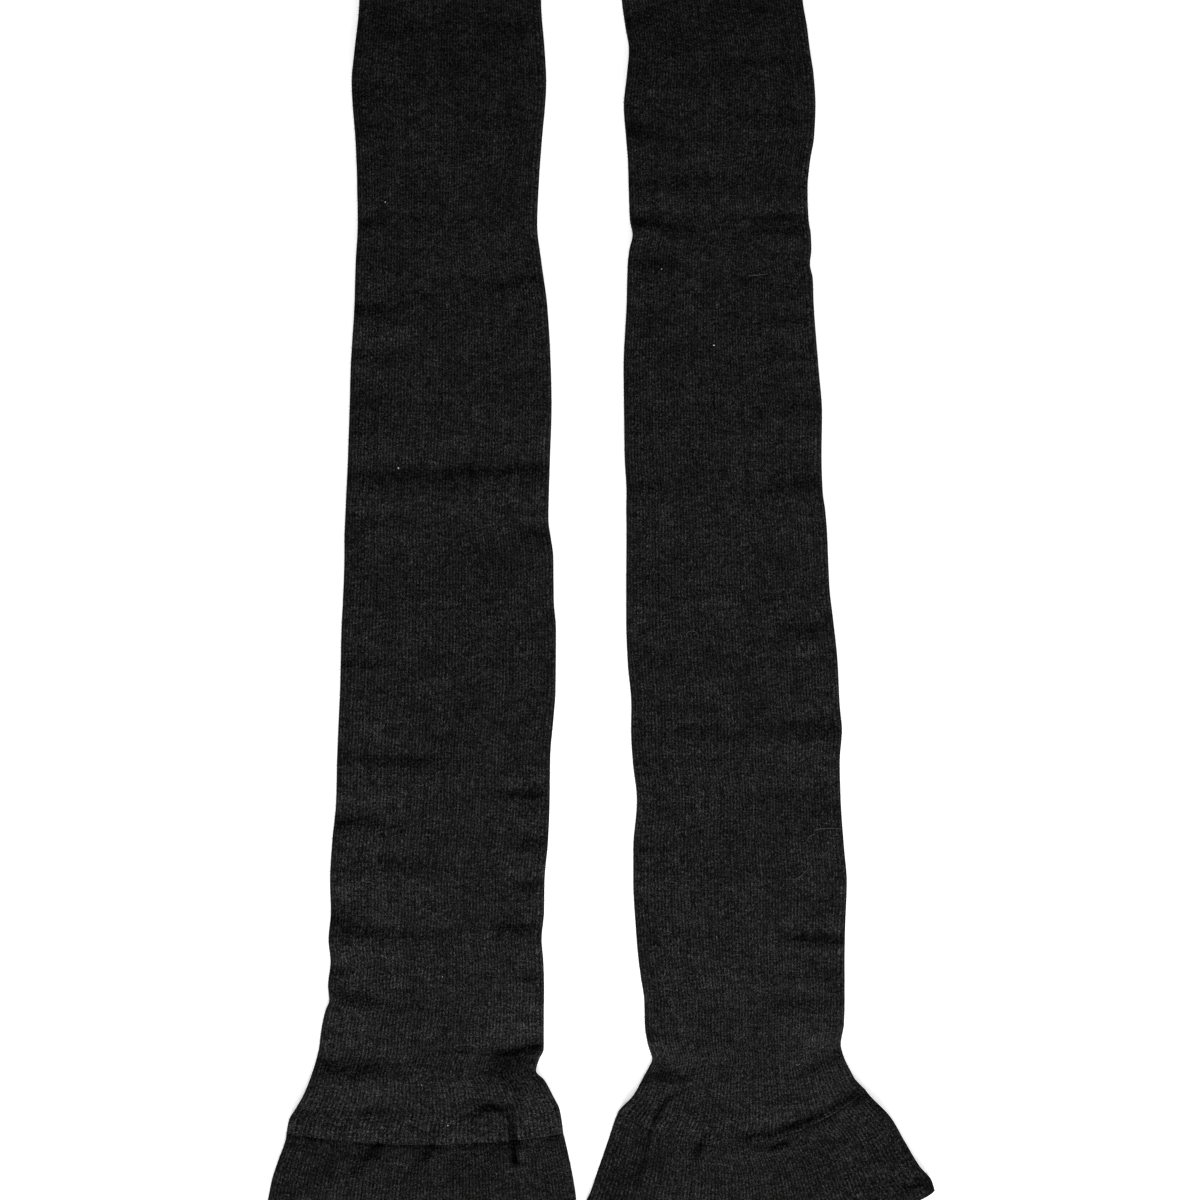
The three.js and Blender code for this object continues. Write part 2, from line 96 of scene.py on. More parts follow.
# ---- Outlines: a row for each section ----
# along the sock from its hem, its two side folds, how far the course's ends lie ahead of its middle,
# and how far its right end lies ahead of the middle and its left end behind it. A row may leave out the
# last two where they are 0.
SECTION_COLUMNS = ("along", "left", "right", "bow", "tilt")
LEFT_SECTIONS = (
    (0, -137.9, -8, 6, 0),  # hem
    (13, -135.1, -8.5, 6, 0),
    (22, -133.3, -9.7, 5.7, 0),
    (31, -130.5, -11.4, 5.3, 0),
    (39.5, -127.7, -13.2, 4.7, 0),
    (42, -127.4, -13.8, 4.5, 0),  # end of the welt
    (48, -126.4, -14.5, 4, 0),
    (53, -123.7, -15.4, 3.6, 0),
    (59, -120.6, -18.1, 3, 0),  # flare
    (66, -117.9, -21.6, 2.5, 0),
    (70, -116.6, -25, 2.2, 0),  # pinch on the right
    (75, -115.2, -23.7, 1.9, 0),
    (79.5, -114.2, -21.8, 1.5, 0),
    (88, -113.2, -21.8, 0.9, 0),
    (96.5, -111.4, -21.8, 0.5, 0),
    (101, -109.9, -21.7, 0.2, 0),
    (107, -110.4, -21.7),
    (117, -109.4, -22),
    (126, -110.2, -22.7),
    (137, -109.3, -21.7),
    (150, -109.6, -21.5),  # calf
    (166, -108.7, -20.1),
    (183, -107.1, -19.4),
    (200, -106.7, -19.2),
    (217, -106, -17.8),
    (228, -105.5, -17),
    (253, -104.9, -16.8),
    (265, -104.3, -17.7),
    (283, -103.7, -17.9),
    (290, -103.7, -18.8),
    (298, -103.4, -19.9),
    (322, -102.3, -19.3),
    (345, -101.5, -18.6),
    (360, -101.1, -18.9),
    (385, -99.6, -20.3),
    (404, -99, -22.8),
    (419, -98.2, -24.5),  # ankle
    (438, -98.4, -23.7),
    (452, -99, -22.7),
    (478, -100.7, -20.8),  # over the heel pocket
    (490, -99.6, -21.4),
    (511, -97.6, -22.9),
    (567, -97, -21.6),  # toe seam
    (587, -94.5, -24.1),
    (599, -89.5, -29.1, -1, 0),
    (606.5, -83, -35.6, -2, 0),
    (610.5, -76, -42.6, -2, 0),
    (612, -69, -49.6, -1, 0),  # tip
)
RIGHT_SECTIONS = (
    (0, -5.8, 138.8, 17, 5.5),  # hem
    (5, -5.2, 137, 17.3, 5.4),
    (10, -2.9, 132.4, 17.6, 5.4),
    (20, 0.8, 126.3, 18, 5.1),
    (30, 4.4, 120.7, 18, 4.8),
    (42, 8.5, 110.4, 17.5, 4.5),  # end of the welt
    (46, 10.7, 108.6, 15.8, 4),
    (50, 13.4, 107.3, 13.8, 3.4),
    (55, 15.7, 105.7, 11.2, 2.8),
    (60, 17.3, 104.5, 8.8, 2.4),  # flare
    (66, 19.2, 102.7, 6.3, 2.3),
    (72, 21.2, 100.8, 4.4, 2.8),
    (77, 22.6, 100, 3, 3),  # pinch on both sides
    (83, 20.8, 100.4, 1.5, 1.5),
    (90, 19.6, 101.3, 0.5, 0.5),
    (101, 19.3, 101.6),
    (110, 18, 101.6),
    (118, 16.9, 101.6),
    (130, 15.9, 101.8),
    (150, 14.8, 102.5),  # calf
    (163, 14.8, 101.4),
    (183, 16.3, 100),
    (199, 14.6, 99.6),
    (212, 13.9, 100.5),
    (222, 14, 99.6),
    (240, 12.5, 98.7),
    (257, 11.9, 96.9),
    (270, 11.9, 95.4),
    (294, 12, 94.3),
    (303, 11.9, 93.5),
    (309, 12, 92.6),
    (325, 11.2, 92.1),
    (342, 11, 92.3),
    (360, 10.8, 90.9),
    (388, 12.1, 88.8),
    (397, 12.3, 88.5),
    (403, 12.5, 87.3),  # pinch on the right
    (409, 13.2, 87.9),
    (415, 14.5, 87.7),  # ankle, pinched on the left
    (421, 13.4, 86.8),
    (434, 12.9, 86.3),
    (445, 12.6, 87.3),
    (455, 11.8, 89),
    (468, 10.9, 89.6),  # over the heel pocket
    (480, 12.1, 88.9),
    (491, 13, 87.3),
    (500, 11.6, 86.2),
    (511, 10.1, 84.4),
    (540, 8, 82.5),
    (567, 6.5, 81),  # toe seam
    (587, 8.5, 78.5),
    (599, 13.5, 73.5, -1, 0),
    (606.5, 20, 67, -2, 0),
    (610.5, 27, 60, -2, 0),
    (612, 34, 53, -1, 0),  # tip
)

# ---- Creases of the upper panel: a row for each ----
# a path from its start through its middle to its end, its depth and its half-width
LEFT_CREASES = (
    ((-42, 503), (-28, 503), (-10, 503), 0.2, 2.4),  # over the toes
    ((-112, 503), (-92, 503), (-66, 502), 0.35, 4),
    ((-113, 474), (-92, 474), (-68, 475), 0.4, 3),
    ((-104, 421), (-94, 421.5), (-83, 421), 0.5, 2),
    ((-44, 394.5), (-33, 397.5), (-12, 401.5), 0.6, 2.4),  # ankle
    ((-118, 387), (-98, 387.5), (-76, 388.5), 1.0, 3.8),
    ((-112, 366), (-98, 366.5), (-76, 367), 0.45, 2.2),
    ((-111, 348), (-88, 348), (-70, 349), 0.35, 2.4),
    ((-124, 317.5), (-94, 318.5), (-62, 318.5), 0.9, 3.6),  # right across the shin
    ((-66, 319.5), (-36, 320.5), (-2, 321.5), 0.95, 3.4),
    ((-113, 298), (-92, 299), (-74, 299), 0.3, 2.4),
    ((-32, 294), (-23, 294), (-7, 293), 0.5, 2.4),
    ((-120, 244), (-100, 240.5), (-80, 242), 0.5, 1.9),
    ((-112, 206), (-90, 203), (-58, 200), 0.7, 3.2),  # calf
    ((-42, 187.5), (-30, 187), (-9, 187), 0.75, 1.8),
    ((-120, 170), (-104, 177), (-86, 174), 1.2, 3.6),
    ((-98, 162), (-84, 160), (-64, 158), 0.6, 3.2),
    ((-34, 168), (-25, 168.5), (-10, 169), 0.8, 3.6),
    ((-38, 149.5), (-28, 149.5), (-9, 150), 0.6, 2.2),
    ((-126, 139), (-108, 138), (-90, 133), 1.1, 4.8),
    ((-104, 132), (-84, 130.5), (-58, 131), 0.5, 2.8),
    ((-42, 133), (-30, 133), (-9, 133.5), 0.85, 2.4),
    ((-122, 113.5), (-109, 114.5), (-96, 114), 0.8, 2.4),
    ((-34, 112), (-26, 112), (-9, 112), 0.5, 2.0),
    ((-114, 109), (-102, 106), (-86, 101), 0.9, 3.2),
    ((-38, 103.5), (-28, 103.5), (-10, 104), 0.35, 1.8),
    ((-34, 96), (-26, 96), (-9, 96.5), 0.5, 1.8),
    ((-134, 78), (-106, 78), (-82, 76), 1.5, 5),
    ((-42, 80), (-30, 82.5), (-12, 85.5), 0.9, 1.6),  # at the pinch
    ((-128, 54), (-114, 56), (-98, 54), 0.3, 1.5),
    ((-98, 54), (-88, 57), (-76, 54), 0.35, 1.5),
    ((-50, 56), (-43, 59), (-36, 56), 1.3, 2.2),
    ((-46, 80), (-34, 81), (-16, 84), 1.8, 6.5),
    ((-33, 35), (-34, 47), (-35.5, 62), 3.2, 0.9),
    ((-36.5, 60), (-35.2, 47), (-34, 36), 2.0, 0.9),
    ((-37, 41), (-34, 42.5), (-30, 42), 0.9, 1.2),
    ((-121.5, 34), (-121, 39), (-120.5, 43), 0.4, 1.0),
    ((-98, 35), (-95.5, 39), (-92, 43), 1.3, 3.2),
    ((-74, 35), (-71.5, 39), (-69, 43), 1.2, 2.4),
    ((-48, 26), (-46, 35), (-45, 43), 0.35, 2.4),
    ((-116, 20), (-113, 32), (-110, 42), 0.3, 2.4),
)
RIGHT_CREASES = (
    ((0, 506), (12, 505), (24, 503), 0.6, 2.8),  # over the toes
    ((48, 487.5), (72, 487.5), (100, 486.5), 0.45, 2.4),
    ((50, 462.5), (70, 463), (97, 462.5), 0.2, 3),
    ((2, 460), (17, 459.5), (32, 456), 0.7, 3.2),
    ((3, 437), (18, 438), (34, 439), 0.35, 3.4),
    ((50, 437), (60, 437), (72, 436), 0.15, 2.4),
    ((2, 422), (20, 421.5), (44, 418), 0.9, 2.4),  # ankle
    ((62, 422.5), (78, 423.5), (97, 423), 0.8, 2),
    ((58, 417.5), (78, 418.5), (98, 418), 1.0, 2.6),
    ((36, 415), (50, 414), (62, 415), 0.4, 2.6),
    ((8, 405), (20, 405), (31, 404), 0.5, 2.4),
    ((34, 402), (44, 401.5), (52, 401), 0.3, 1.8),
    ((68, 381.5), (78, 382), (99, 382), 0.4, 1.8),
    ((72, 367), (84, 368), (99, 368), 0.25, 2.2),
    ((64, 347), (82, 347), (102, 346), 0.5, 4),
    ((3, 315), (26, 316), (44, 317), 0.45, 3.8),
    ((68, 318), (86, 318), (106, 316), 0.9, 5.4),
    ((72, 256), (86, 256), (107, 255), 0.5, 2.8),
    ((58, 249), (69, 249), (80, 249), 0.35, 1.8),
    ((18, 223), (32, 223), (48, 222.5), 0.3, 1.9),  # calf
    ((6, 214.5), (50, 215.5), (98, 214), 0.45, 4.6),
    ((76, 218), (92, 217.5), (112, 219), 0.8, 4),
    ((8, 166), (22, 165), (28, 164), 0.45, 2.6),
    ((74, 128.5), (90, 128), (112, 126.5), 0.95, 2.2),
    ((62, 121), (78, 121), (99, 121), 0.3, 3.0),
    ((76, 113), (90, 113), (110, 114), 0.3, 2.4),
    ((69, 102), (78, 102), (95, 103), 0.35, 2.4),
    ((20, 108), (28, 107), (36, 104), 0.4, 2.4),
    ((21, 72), (30, 73), (39, 68), 1.4, 4.0),
    ((24, 78), (29, 77.5), (34, 77), 0.35, 1.8),
    ((23.5, 52), (28, 60.5), (36, 65), 0.7, 1.0),
    ((16, 24), (21, 46), (26, 59), 0.8, 0.8),
    ((40, 37), (41.5, 42), (43.5, 47), 1.1, 1.2),
    ((37, 20), (38.5, 32), (41, 42), 0.5, 1.5),
    ((68, 41), (74, 42.5), (79, 44), 0.9, 1.4),
    ((58, 46), (84, 52.5), (112, 69), 1.0, 2.0),
    ((80, 71), (91, 77), (106, 85), 0.8, 2.8),
    ((122, 27), (129, 27), (136, 29), 0.7, 2.2),
    ((56, 20), (56.5, 32), (57, 44), 0.35, 2.2),
    ((104, 26), (101, 36), (98, 46), 0.35, 2.4),
)

# ---- The groove where the leg runs into the welt: its depth at places across the sock ----
GROOVE_WIDTHS = (2.2, 1.2)  # its half-widths on the leg and on the welt
GROOVE_UNEVEN = 0.3  # how far its depth varies, in two waves of these lengths
GROOVE_WAVES = (1.3, 3.1)
LEFT_GROOVE = (
    (-128, 0.2), (-121, 0.6), (-108, 0.5), (-101, 0.3), (-98, 0.9), (-89, 1.0),
    (-86, 0.2), (-81, 0.6), (-66, 0.6), (-60, 0.15), (-56, 0.6), (-46, 0.5),
    (-42, 0.2), (-37, 0.9), (-32, 0.9), (-29, 0.1), (-22, 0.3), (-16, 0.7),
)
RIGHT_GROOVE = (
    (8, 0.1), (40, 0.1), (62, 0.1), (84, 0.2), (100, 0.3), (112, 0.6),
    (117, 0.3),
)

# A crease is a trough along its path, and on the path's right, seen from its start, the cloth rises in
# a lip. These are in half-widths of the crease, apart from the shares.
CREASE_LIP = 1.9  # from the path to the top of the lip
CREASE_LIP_SHARE = 0.8  # the lip's height as a share of the trough's depth
LIP_RISE = 1.3  # half-width of the lip's near side
LIP_FALL = 2.2  # and of its far side
CREASE_TAIL = 2.1  # the trough's left side runs out this much more slowly
CREASE_REACH = 4.5
CREASE_FADE = 0.4  # how it fades towards its ends: lower is more sudden

# ---- Soft swells and hollows: middle, half-lengths across and along, height ----
LEFT_SWELLS = (
    ((-94, 455), (13, 7), 0.6),
    ((-88, 422), (14, 16), 0.5),
    ((-88, 373), (13, 7), 0.6),
    ((-33, 369), (9, 8), 0.5),
    ((-66, 307), (26, 5), 0.6),
    ((-25, 300), (6, 7), 0.4),
    ((-95, 189), (8, 6), 0.5),
    ((-101, 151), (7, 5), 0.5),
    ((-46, 142), (7, 5), 0.4),
    ((-105, 123), (6, 5), 0.5),
    ((-43, 437), (10, 12), -0.7),
    ((-70, 90), (18, 8), 0.5),
    ((-36, 61), (10, 11), 2.1),
    ((-70, 66), (12, 7), 0.4),
    ((-54, 41), (9, 5), -1.1),
    ((-132, 36), (13, 28), -2),
    ((-80, 0), (70, 60), 1.5),  # the hem stands higher
)
RIGHT_SWELLS = (
    ((78, 402), (10, 7), 0.5),
    ((93, 169), (9, 7), 0.6),
    ((22, 112), (6, 6), 0.5),
    ((90, 203), (10, 6), 0.6),
    ((90, 88), (13, 12), 0.9),
    ((16, 96), (10, 14), -0.8),
    ((15, 155), (8, 40), -0.9),
    ((70, 106), (14, 18), -0.8),
    ((22, 280), (12, 7), -0.35),
    ((69, 43), (4, 4), 0.6),
    ((34, 52), (5, 8), 0.6),
    ((50, 60), (12, 8), 0.4),
    ((100, 42), (12, 9), 0.5),
    ((86, 59), (22, 4), 0.6),
    ((24, 38), (14, 24), 1.2),
    ((5, 36), (14, 28), -3),
    ((70, 0), (60, 36), -1.4),  # the hem lies lower
)
RUMPLE = 0.11  # of the irregular rumples all over the cloth
RUMPLE_WAVES = ((9, 6), (16, 9), (30, 14), (60, 30))  # their lengths across and along
RUMPLE_DIRECTIONS = 6  # waves of each length
RUMPLE_FULL = 30  # a wave this long across has full height, and longer ones are higher
RUMPLE_SHARE = 3  # what the sum of all the waves is divided by

# ---- Shades of the knit: how much each part of it lightens or darkens the yarn; the last two are painted shade ----
LEG_FLECK = 0.1  # from one leg of a stitch to the next
PLY_FLECK = 2.95  # between the plies of a leg
YARN_FLECK = 0.9  # between lengths of the yarn
WALE_FLECK = 0.06  # from one wale to the next
STREAK = 0.8  # down some wales
COURSE_LINE = 0.7  # and along some courses
FIBRE_FLECK = 1.0
MOTTLE = 1.0
PATCH = 0.35
# painted shade: the next two darken the colour in the furrows between wales and where one stitch meets the
# next
PAINTED_FURROW_SHADE = 0.85  # from a furrow to the ridge of a wale
PAINTED_STITCH_SHADE = 0.5  # from the end of a stitch to its middle

# ---- Sizes in the knit ----
WANDER = 0.7  # of the wales, in wales
STITCH_RISE = 1.1  # of a stitch's leg from the middle of a wale outwards, in courses a wale
YARN_LEGS = 3.0  # legs beside each other that share a shade
PLIES_ACROSS = 5.0  # to a wale
PLIES_UP = 1.7  # to a course
STREAK_LENGTH = 0.04  # a streak's scale along the sock, as a share of its scale across
LINE_LENGTH = 0.12  # and a course line's across, as a share of its scale along
KNIT_BUMP = 0.3
BUMP_DEPTH = 0.0003
KNIT_ROUGHNESS = 0.95
KNIT_GLOSS = 0.016

# noise scales, in waves to a metre
WANDER_SCALE = 140.0
FIBRE_SCALE = 2500.0
FIBRE_BUMP_SCALE = 2600.0
MOTTLE_SCALE = 110.0
PATCH_SCALE = 26.0
LOOSE_FIBRE_SCALE = 400.0

# ---- Mesh: columns across the upper panel, across the underside and round each side fold ----
LEG_COLUMNS = (150, 24, 7)
WELT_COLUMNS = (190, 40, 7)
TOE_COLUMNS = (112, 24, 7)
HEEL_COLUMNS = (40, 20, 5)
NOMINAL_HALF_WIDTH = 43.0  # of the tube that the wales are shared out round
CREASE_STEPS = 10  # straight runs in the path of a crease
INNER_SPACING = 4  # rings of the outside for each ring of the inside
HEM_STEPS = 4  # bands of faces round the hem's fold
HEM_BULGE = 0.6  # of the fold, in walls
HEM_START, TIP_END = 0.6, 0.3  # how far inside its length the sock's first and last rings lie
TIP_WALLS = 2.5  # how far before the tip its inside ends, in walls

# ---- Heel pocket ----
HEEL_RINGS = 36
HEEL_INNER_SPACING = 3
HEEL_INSET = 1.2  # of its sides from the gores
HEEL_EDGE = 1.45  # radius of its side folds
HEEL_TIP_ROUND = 3  # length of its rounded tip
HEEL_TIP_RADIUS = 3.2
HEEL_TIP_LEAST = 0.05  # keeps the tip's last ring open, as the square of its share of the width
HEEL_TIP_HEIGHT = 0.55  # at the very tip, as a share of its height
HEEL_MARK_DEPTH = 0.12  # fashioning marks along the gores
HEEL_MARK_PLACE = 0.9  # from the middle to the sides
HEEL_MARK_WIDTH = 0.07
HEEL_MARK_RATE = 2.2  # radians to a millimetre
HEEL_CLEARANCE = 0.05  # above the floor
HEEL_WALL = (0.8, 0.9)  # at its sides, and in its panels

# ---- Toe seam: a chain of short stitches ----
SEAM_PITCH = 1.2
SEAM_MARGIN = 2.5  # at each end
SEAM_RADIUS = 0.42
SEAM_OVERLAP = 1.3  # length of a stitch in pitches
SEAM_SLANT = 0.9
SEAM_FLATTENING = 0.8
SEAM_HEIGHT = 0.05  # of its middle above the upper panel
SEAM_RINGS, SEAM_SIDES = 5, 6

# ---- What is on the cloth ----
FUZZ = {  # fibre ends on the upper panel, and at the side folds
    "leg": (3600, 4200),
    "welt": (700, 600),
    "toe": (200, 300),
}
# a fibre end's length as the shape and scale of a gamma distribution with the least length, how far it
# curls in radians, its least and most lift, its width and its steps
TOP_FUZZ = ((2.2, 0.55, 0.4), 1.5, (0.05, 0.3), 0.035, 3)
EDGE_FUZZ = ((2.0, 0.18, 0.15), 0.9, (0.0, 0.1), 0.045, 2)
EDGE_FUZZ_SPREAD = 0.9  # how far those at the folds turn from straight out, in radians
FOLD_COSINE = 0.3  # of the angle up the fold: higher is nearer to its middle
FUZZ_CLEARANCE = 0.03
RIBBON_TILT = 0.35  # of a fibre's flat side
FIBRE_WIDTH = 0.12
FIBRE_LIFT = 0.3
FIBRE_STEPS = 12
FIBRE_CLEARANCE = 0.2
LINT_RINGS, LINT_SIDES = 5, 8
LINT_SHAPE = (0.8, 0.5)  # its size along the sock and its height, as shares of its size across
LINT_WOBBLE = 0.25
LINT_HEIGHT = 0.3  # of its middle above the cloth, as a share of its size
LINT_SPECKS = (  # x, y, size
    (-86.7, 428.2, 0.25),
    (-81.4, 319.4, 0.3),
    (47.9, 369.6, 0.32),
    (26.4, 400.8, 0.24),
    (-61.1, 50, 0.2),
    (-63.3, 110.8, 0.13),
    (-71.9, 66.5, 0.15),
    (49, 127.1, 0.13),
)
LOOSE_FIBRES = (  # x, y, direction in degrees, length, how far it curls in degrees
    (-68.5, 321.0, 60, 4.5, -190),
    (-51, 322, 200, 3.5, -60),
    (36.5, 251, 60, 7.0, -150),
    (86, 166.5, 70, 4.5, -60),
    (89, 171, 12, 11, -20),
    (80.5, 150.5, 20, 10.5, 60),
    (-72, 189, 150, 5.0, 80),
    (-50, 196, 250, 8.0, 30),
    (-40, 350, 30, 4.0, 90),
    (62, 398, 2, 8, 10),
    (32, 97, 100, 6, 25),
)

# ---- Floor, light and camera, in metres ----
FLOOR_HALF = 30.0
FLOOR_LEVEL = -0.00012
FLOOR_GLOW = 0.65  # the floor is a light table, so no shadow shows on it
LIGHTS_AIM = (0, -0.05, 0)
WORLD_STRENGTH = 0.1625
VIEW_SPAN = 0.492  # width of the view at the height that the camera is aimed at
VIEW_X, VIEW_Y = 0.0012, -0.0405
AIM_HEIGHT = 0.0035
LENS = 200
SENSOR = 36


def smooth_table(rows):
    """Reads a column at any place along the sock, on a cubic through the rows that never overshoots."""
    table = np.array([(*row, 0, 0)[: len(SECTION_COLUMNS)] for row in rows], float)
    at = table[:, 0]
    gaps = np.diff(at)

    def read(along, column):
        values = table[:, SECTION_COLUMNS.index(column)]
        rises = np.diff(values) / gaps
        slopes = np.empty_like(values)
        slopes[0], slopes[-1] = rises[0], rises[-1]
        before, after = rises[:-1], rises[1:]
        total = np.where(before * after > 0, before + after, 1)
        slopes[1:-1] = np.where(before * after > 0, 2 * before * after / total, 0)
        place = np.clip(along, at[0], at[-1])
        i = np.clip(np.searchsorted(at, place, side="right") - 1, 0, len(at) - 2)
        t = (place - at[i]) / gaps[i]
        keep = 1 - t
        return (
            values[i] * keep**2 * (1 + 2 * t)
            + slopes[i] * gaps[i] * t * keep**2
            + values[i + 1] * t**2 * (3 - 2 * t)
            - slopes[i + 1] * gaps[i] * t**2 * keep
        )

    return read


def ease(t):
    t = np.clip(t, 0, 1)
    return t * t * (3 - 2 * t)


def bell(t):
    return np.exp(-t * t)


def crease_path(start, middle, end):
    """Points on the parabola that runs through the crease's three points."""
    t = np.linspace(0, 1, CREASE_STEPS + 1)[:, None]
    start, middle, end = (np.array(p, float) for p in (start, middle, end))
    pull = 2 * middle - (start + end) / 2
    return start * (1 - t) ** 2 + 2 * pull * t * (1 - t) + end * t**2


def add_crease(height, x, y, start, middle, end, depth, width):
    """Adds one crease's trough and lip to the heights at a set of places."""
    path = crease_path(start, middle, end)
    reach = CREASE_REACH * width
    low, high = path.min(0) - reach, path.max(0) + reach
    near = (x > low[0]) & (x < high[0]) & (y > low[1]) & (y < high[1])
    if not near.any():
        return
    px, py = x[near], y[near]
    best = np.full(px.shape, 1e9)
    side = np.zeros(px.shape)
    place = np.zeros(px.shape)
    for i, (a, b) in enumerate(zip(path[:-1], path[1:])):
        run = b - a
        length = np.hypot(*run)
        t = np.clip(((px - a[0]) * run[0] + (py - a[1]) * run[1]) / length**2, 0, 1)
        dx, dy = px - a[0] - t * run[0], py - a[1] - t * run[1]
        away = np.hypot(dx, dy)
        closer = away < best
        best = np.where(closer, away, best)
        side = np.where(closer, np.sign(dx * run[1] - dy * run[0]), side)
        place = np.where(closer, (i + t) / (len(path) - 1), place)
    fade = np.sin(math.pi * np.clip(place, 0.01, 0.99)) ** CREASE_FADE
    signed = best * side / width
    trough = bell(np.where(signed > 0, signed, signed / CREASE_TAIL))
    lip = bell((signed - CREASE_LIP) / np.where(signed > CREASE_LIP, LIP_FALL, LIP_RISE))
    height[near] += depth * fade * (CREASE_LIP_SHARE * lip - trough)


def rumples(x, y, seed):
    """A smooth irregular height made of waves in random directions, mostly between -3 and 3."""
    rng = np.random.default_rng(seed)
    height = np.zeros_like(x)
    for across, along in RUMPLE_WAVES:
        for _ in range(RUMPLE_DIRECTIONS):
            turn = rng.uniform(0, 2 * math.pi)
            phase = rng.uniform(0, 2 * math.pi)
            wave_x = math.cos(turn) * 2 * math.pi / across
            wave_y = math.sin(turn) * 2 * math.pi / along
            height += np.sin(x * wave_x + y * wave_y + phase) * across / RUMPLE_FULL
    return height / RUMPLE_SHARE


class Sock:
    """The form of one sock: where any point of its tube lies."""

    def __init__(self, side, sections, creases, swells, groove, seed):
        self.side = side
        self.groove = np.array(groove)
        self.section = smooth_table(sections)
        self.creases = creases
        self.swells = swells
        self.seed = seed
        root_left = float(self.section(HEEL_ROOT, "left"))
        root_right = float(self.section(HEEL_ROOT, "right"))
        self.heel_middle = (root_left + root_right) / 2
        self.heel_half = (root_right - root_left) / 2

    def relief(self, x, y):
        height = RUMPLE * rumples(x, y, self.seed)
        for row in self.creases:
            add_crease(height, x, y, *row)
        for (cx, cy), (rx, ry), rise in self.swells:
            height += rise * bell(np.hypot((x - cx) / rx, (y - cy) / ry))
        return height

    def welt_line(self, x, along):
        """The groove where the leg runs into the welt, deeper in some places than in others."""
        depth = np.interp(x, self.groove[:, 0], self.groove[:, 1])
        short, long = GROOVE_WAVES
        waves = np.sin(x / short + self.seed) * np.sin(x / long + 2 * self.seed)
        away = along - WELT_LENGTH
        return -depth * (1 + GROOVE_UNEVEN * waves) * bell(away / np.where(away > 0, *GROOVE_WIDTHS))

    def height(self, along):
        over_welt = ease((WELT_LENGTH + WELT_LEAD - along) / WELT_RISE)
        thinning = 1 - TOE_THINNING * ease((along - TOE_SEAM) / (SOCK_LENGTH - TOE_SEAM))
        return (TUBE_HEIGHT + (WELT_HEIGHT - TUBE_HEIGHT) * over_welt) * thinning

    def heel_half_width(self, along):
        share = 1 + (HEEL_TIP_SHARE - 1) * (along - HEEL_ROOT) / HEEL_DEPTH
        return self.heel_half * share

    def lift(self, x, y):
        """How high the underside of the foot lies on the heel pocket, and the upper panel over it."""
        here = np.clip(y, HEEL_ROOT, HEEL_ROOT + HEEL_DEPTH)
        past_side = np.maximum(0, np.abs(x - self.heel_middle) - self.heel_half_width(here))
        away = np.hypot(y - here, past_side)
        above = np.hypot(y - here, past_side * HEEL_SIDE_SHARE)
        under = HEEL_LIFT * (1 - ease((away - HEEL_LEDGE) / HEEL_DRAPE))
        fade = np.where(y < HEEL_ROOT, HEEL_FADE_UP_LEG, HEEL_FADE)
        return under, HEEL_LIFT * (1 - ease(above / fade))

    def lie(self, x, y, along):
        """How high the underside lies at each place, and how tall the sock stands on it."""
        relief = self.relief(x, y) + self.welt_line(x, along)
        relief = np.maximum(relief, LEAST_SLACK + 2 * WALL - self.height(along))
        under, over = self.lift(x, y)
        under = np.where(along >= HEEL_ROOT, under, 0)
        return under, self.height(along) + relief + np.maximum(0, over - under)

    def top(self, x, y):
        """Height of the upper panel's outside over a place on the floor."""
        x, y = np.array([float(x)]), np.array([float(y)])
        along = y
        for _ in range(4):
            left, right = self.section(along, "left"), self.section(along, "right")
            reach = (2 * x - left - right) / (right - left)
            along = y - self.section(along, "bow") * reach**2 - self.section(along, "tilt") * reach
        under, tall = self.lie(x, y, along)
        return float(under[0] + tall[0])


class Columns:
    """The places round a section: across its flats from -1 to 1, the angle up its round sides, and how
    far round the section each is, from 0 to 1 and back at the first."""

    def __init__(self, top, bottom, side):
        down = np.linspace(1, -1, top)
        back = np.linspace(-1, 1, bottom)
        turn = np.linspace(0, math.pi, side + 2)[1:-1]
        quarter = math.pi / 2
        self.top = top
        self.across = np.concatenate([down, -np.ones(side), back, np.ones(side)])
        self.angle = np.concatenate(
            [np.full(top, quarter), quarter - turn, np.full(bottom, -quarter), turn - quarter]
        )
        flat = NOMINAL_HALF_WIDTH - EDGE_ROUND
        nominal_x = self.across * (flat + np.cos(self.angle) * EDGE_ROUND)
        nominal_z = TUBE_HEIGHT / 2 * np.sin(self.angle)
        loop_x, loop_z = np.append(nominal_x, nominal_x[0]), np.append(nominal_z, nominal_z[0])
        round_it = np.concatenate([[0], np.cumsum(np.hypot(np.diff(loop_x), np.diff(loop_z)))])
        self.round_it = round_it / round_it[-1]


def outer_rings(sock, columns, alongs):
    """The outside of the tube, as an array of rings by columns by 3."""
    along = alongs[:, None] + 0 * columns.across[None, :]
    across = columns.across[None, :] + 0 * along
    angle = columns.angle[None, :] + 0 * along
    left, right = sock.section(along, "left"), sock.section(along, "right")
    centre, half = (left + right) / 2, (right - left) / 2
    edge = EDGE_ROUND * np.where(across < 0, LEFT_ROUND, RIGHT_ROUND)
    edge = np.minimum(edge, half * EDGE_MOST)
    x = centre + across * (half - edge + np.cos(angle) * edge * np.abs(across))
    reach = (x - centre) / half
    y = along + sock.section(along, "bow") * reach**2 + sock.section(along, "tilt") * reach
    under, tall = sock.lie(x, y, along)
    z = under + tall * (1 + np.sin(angle)) / 2
    return np.stack([x, y, z], axis=-1)


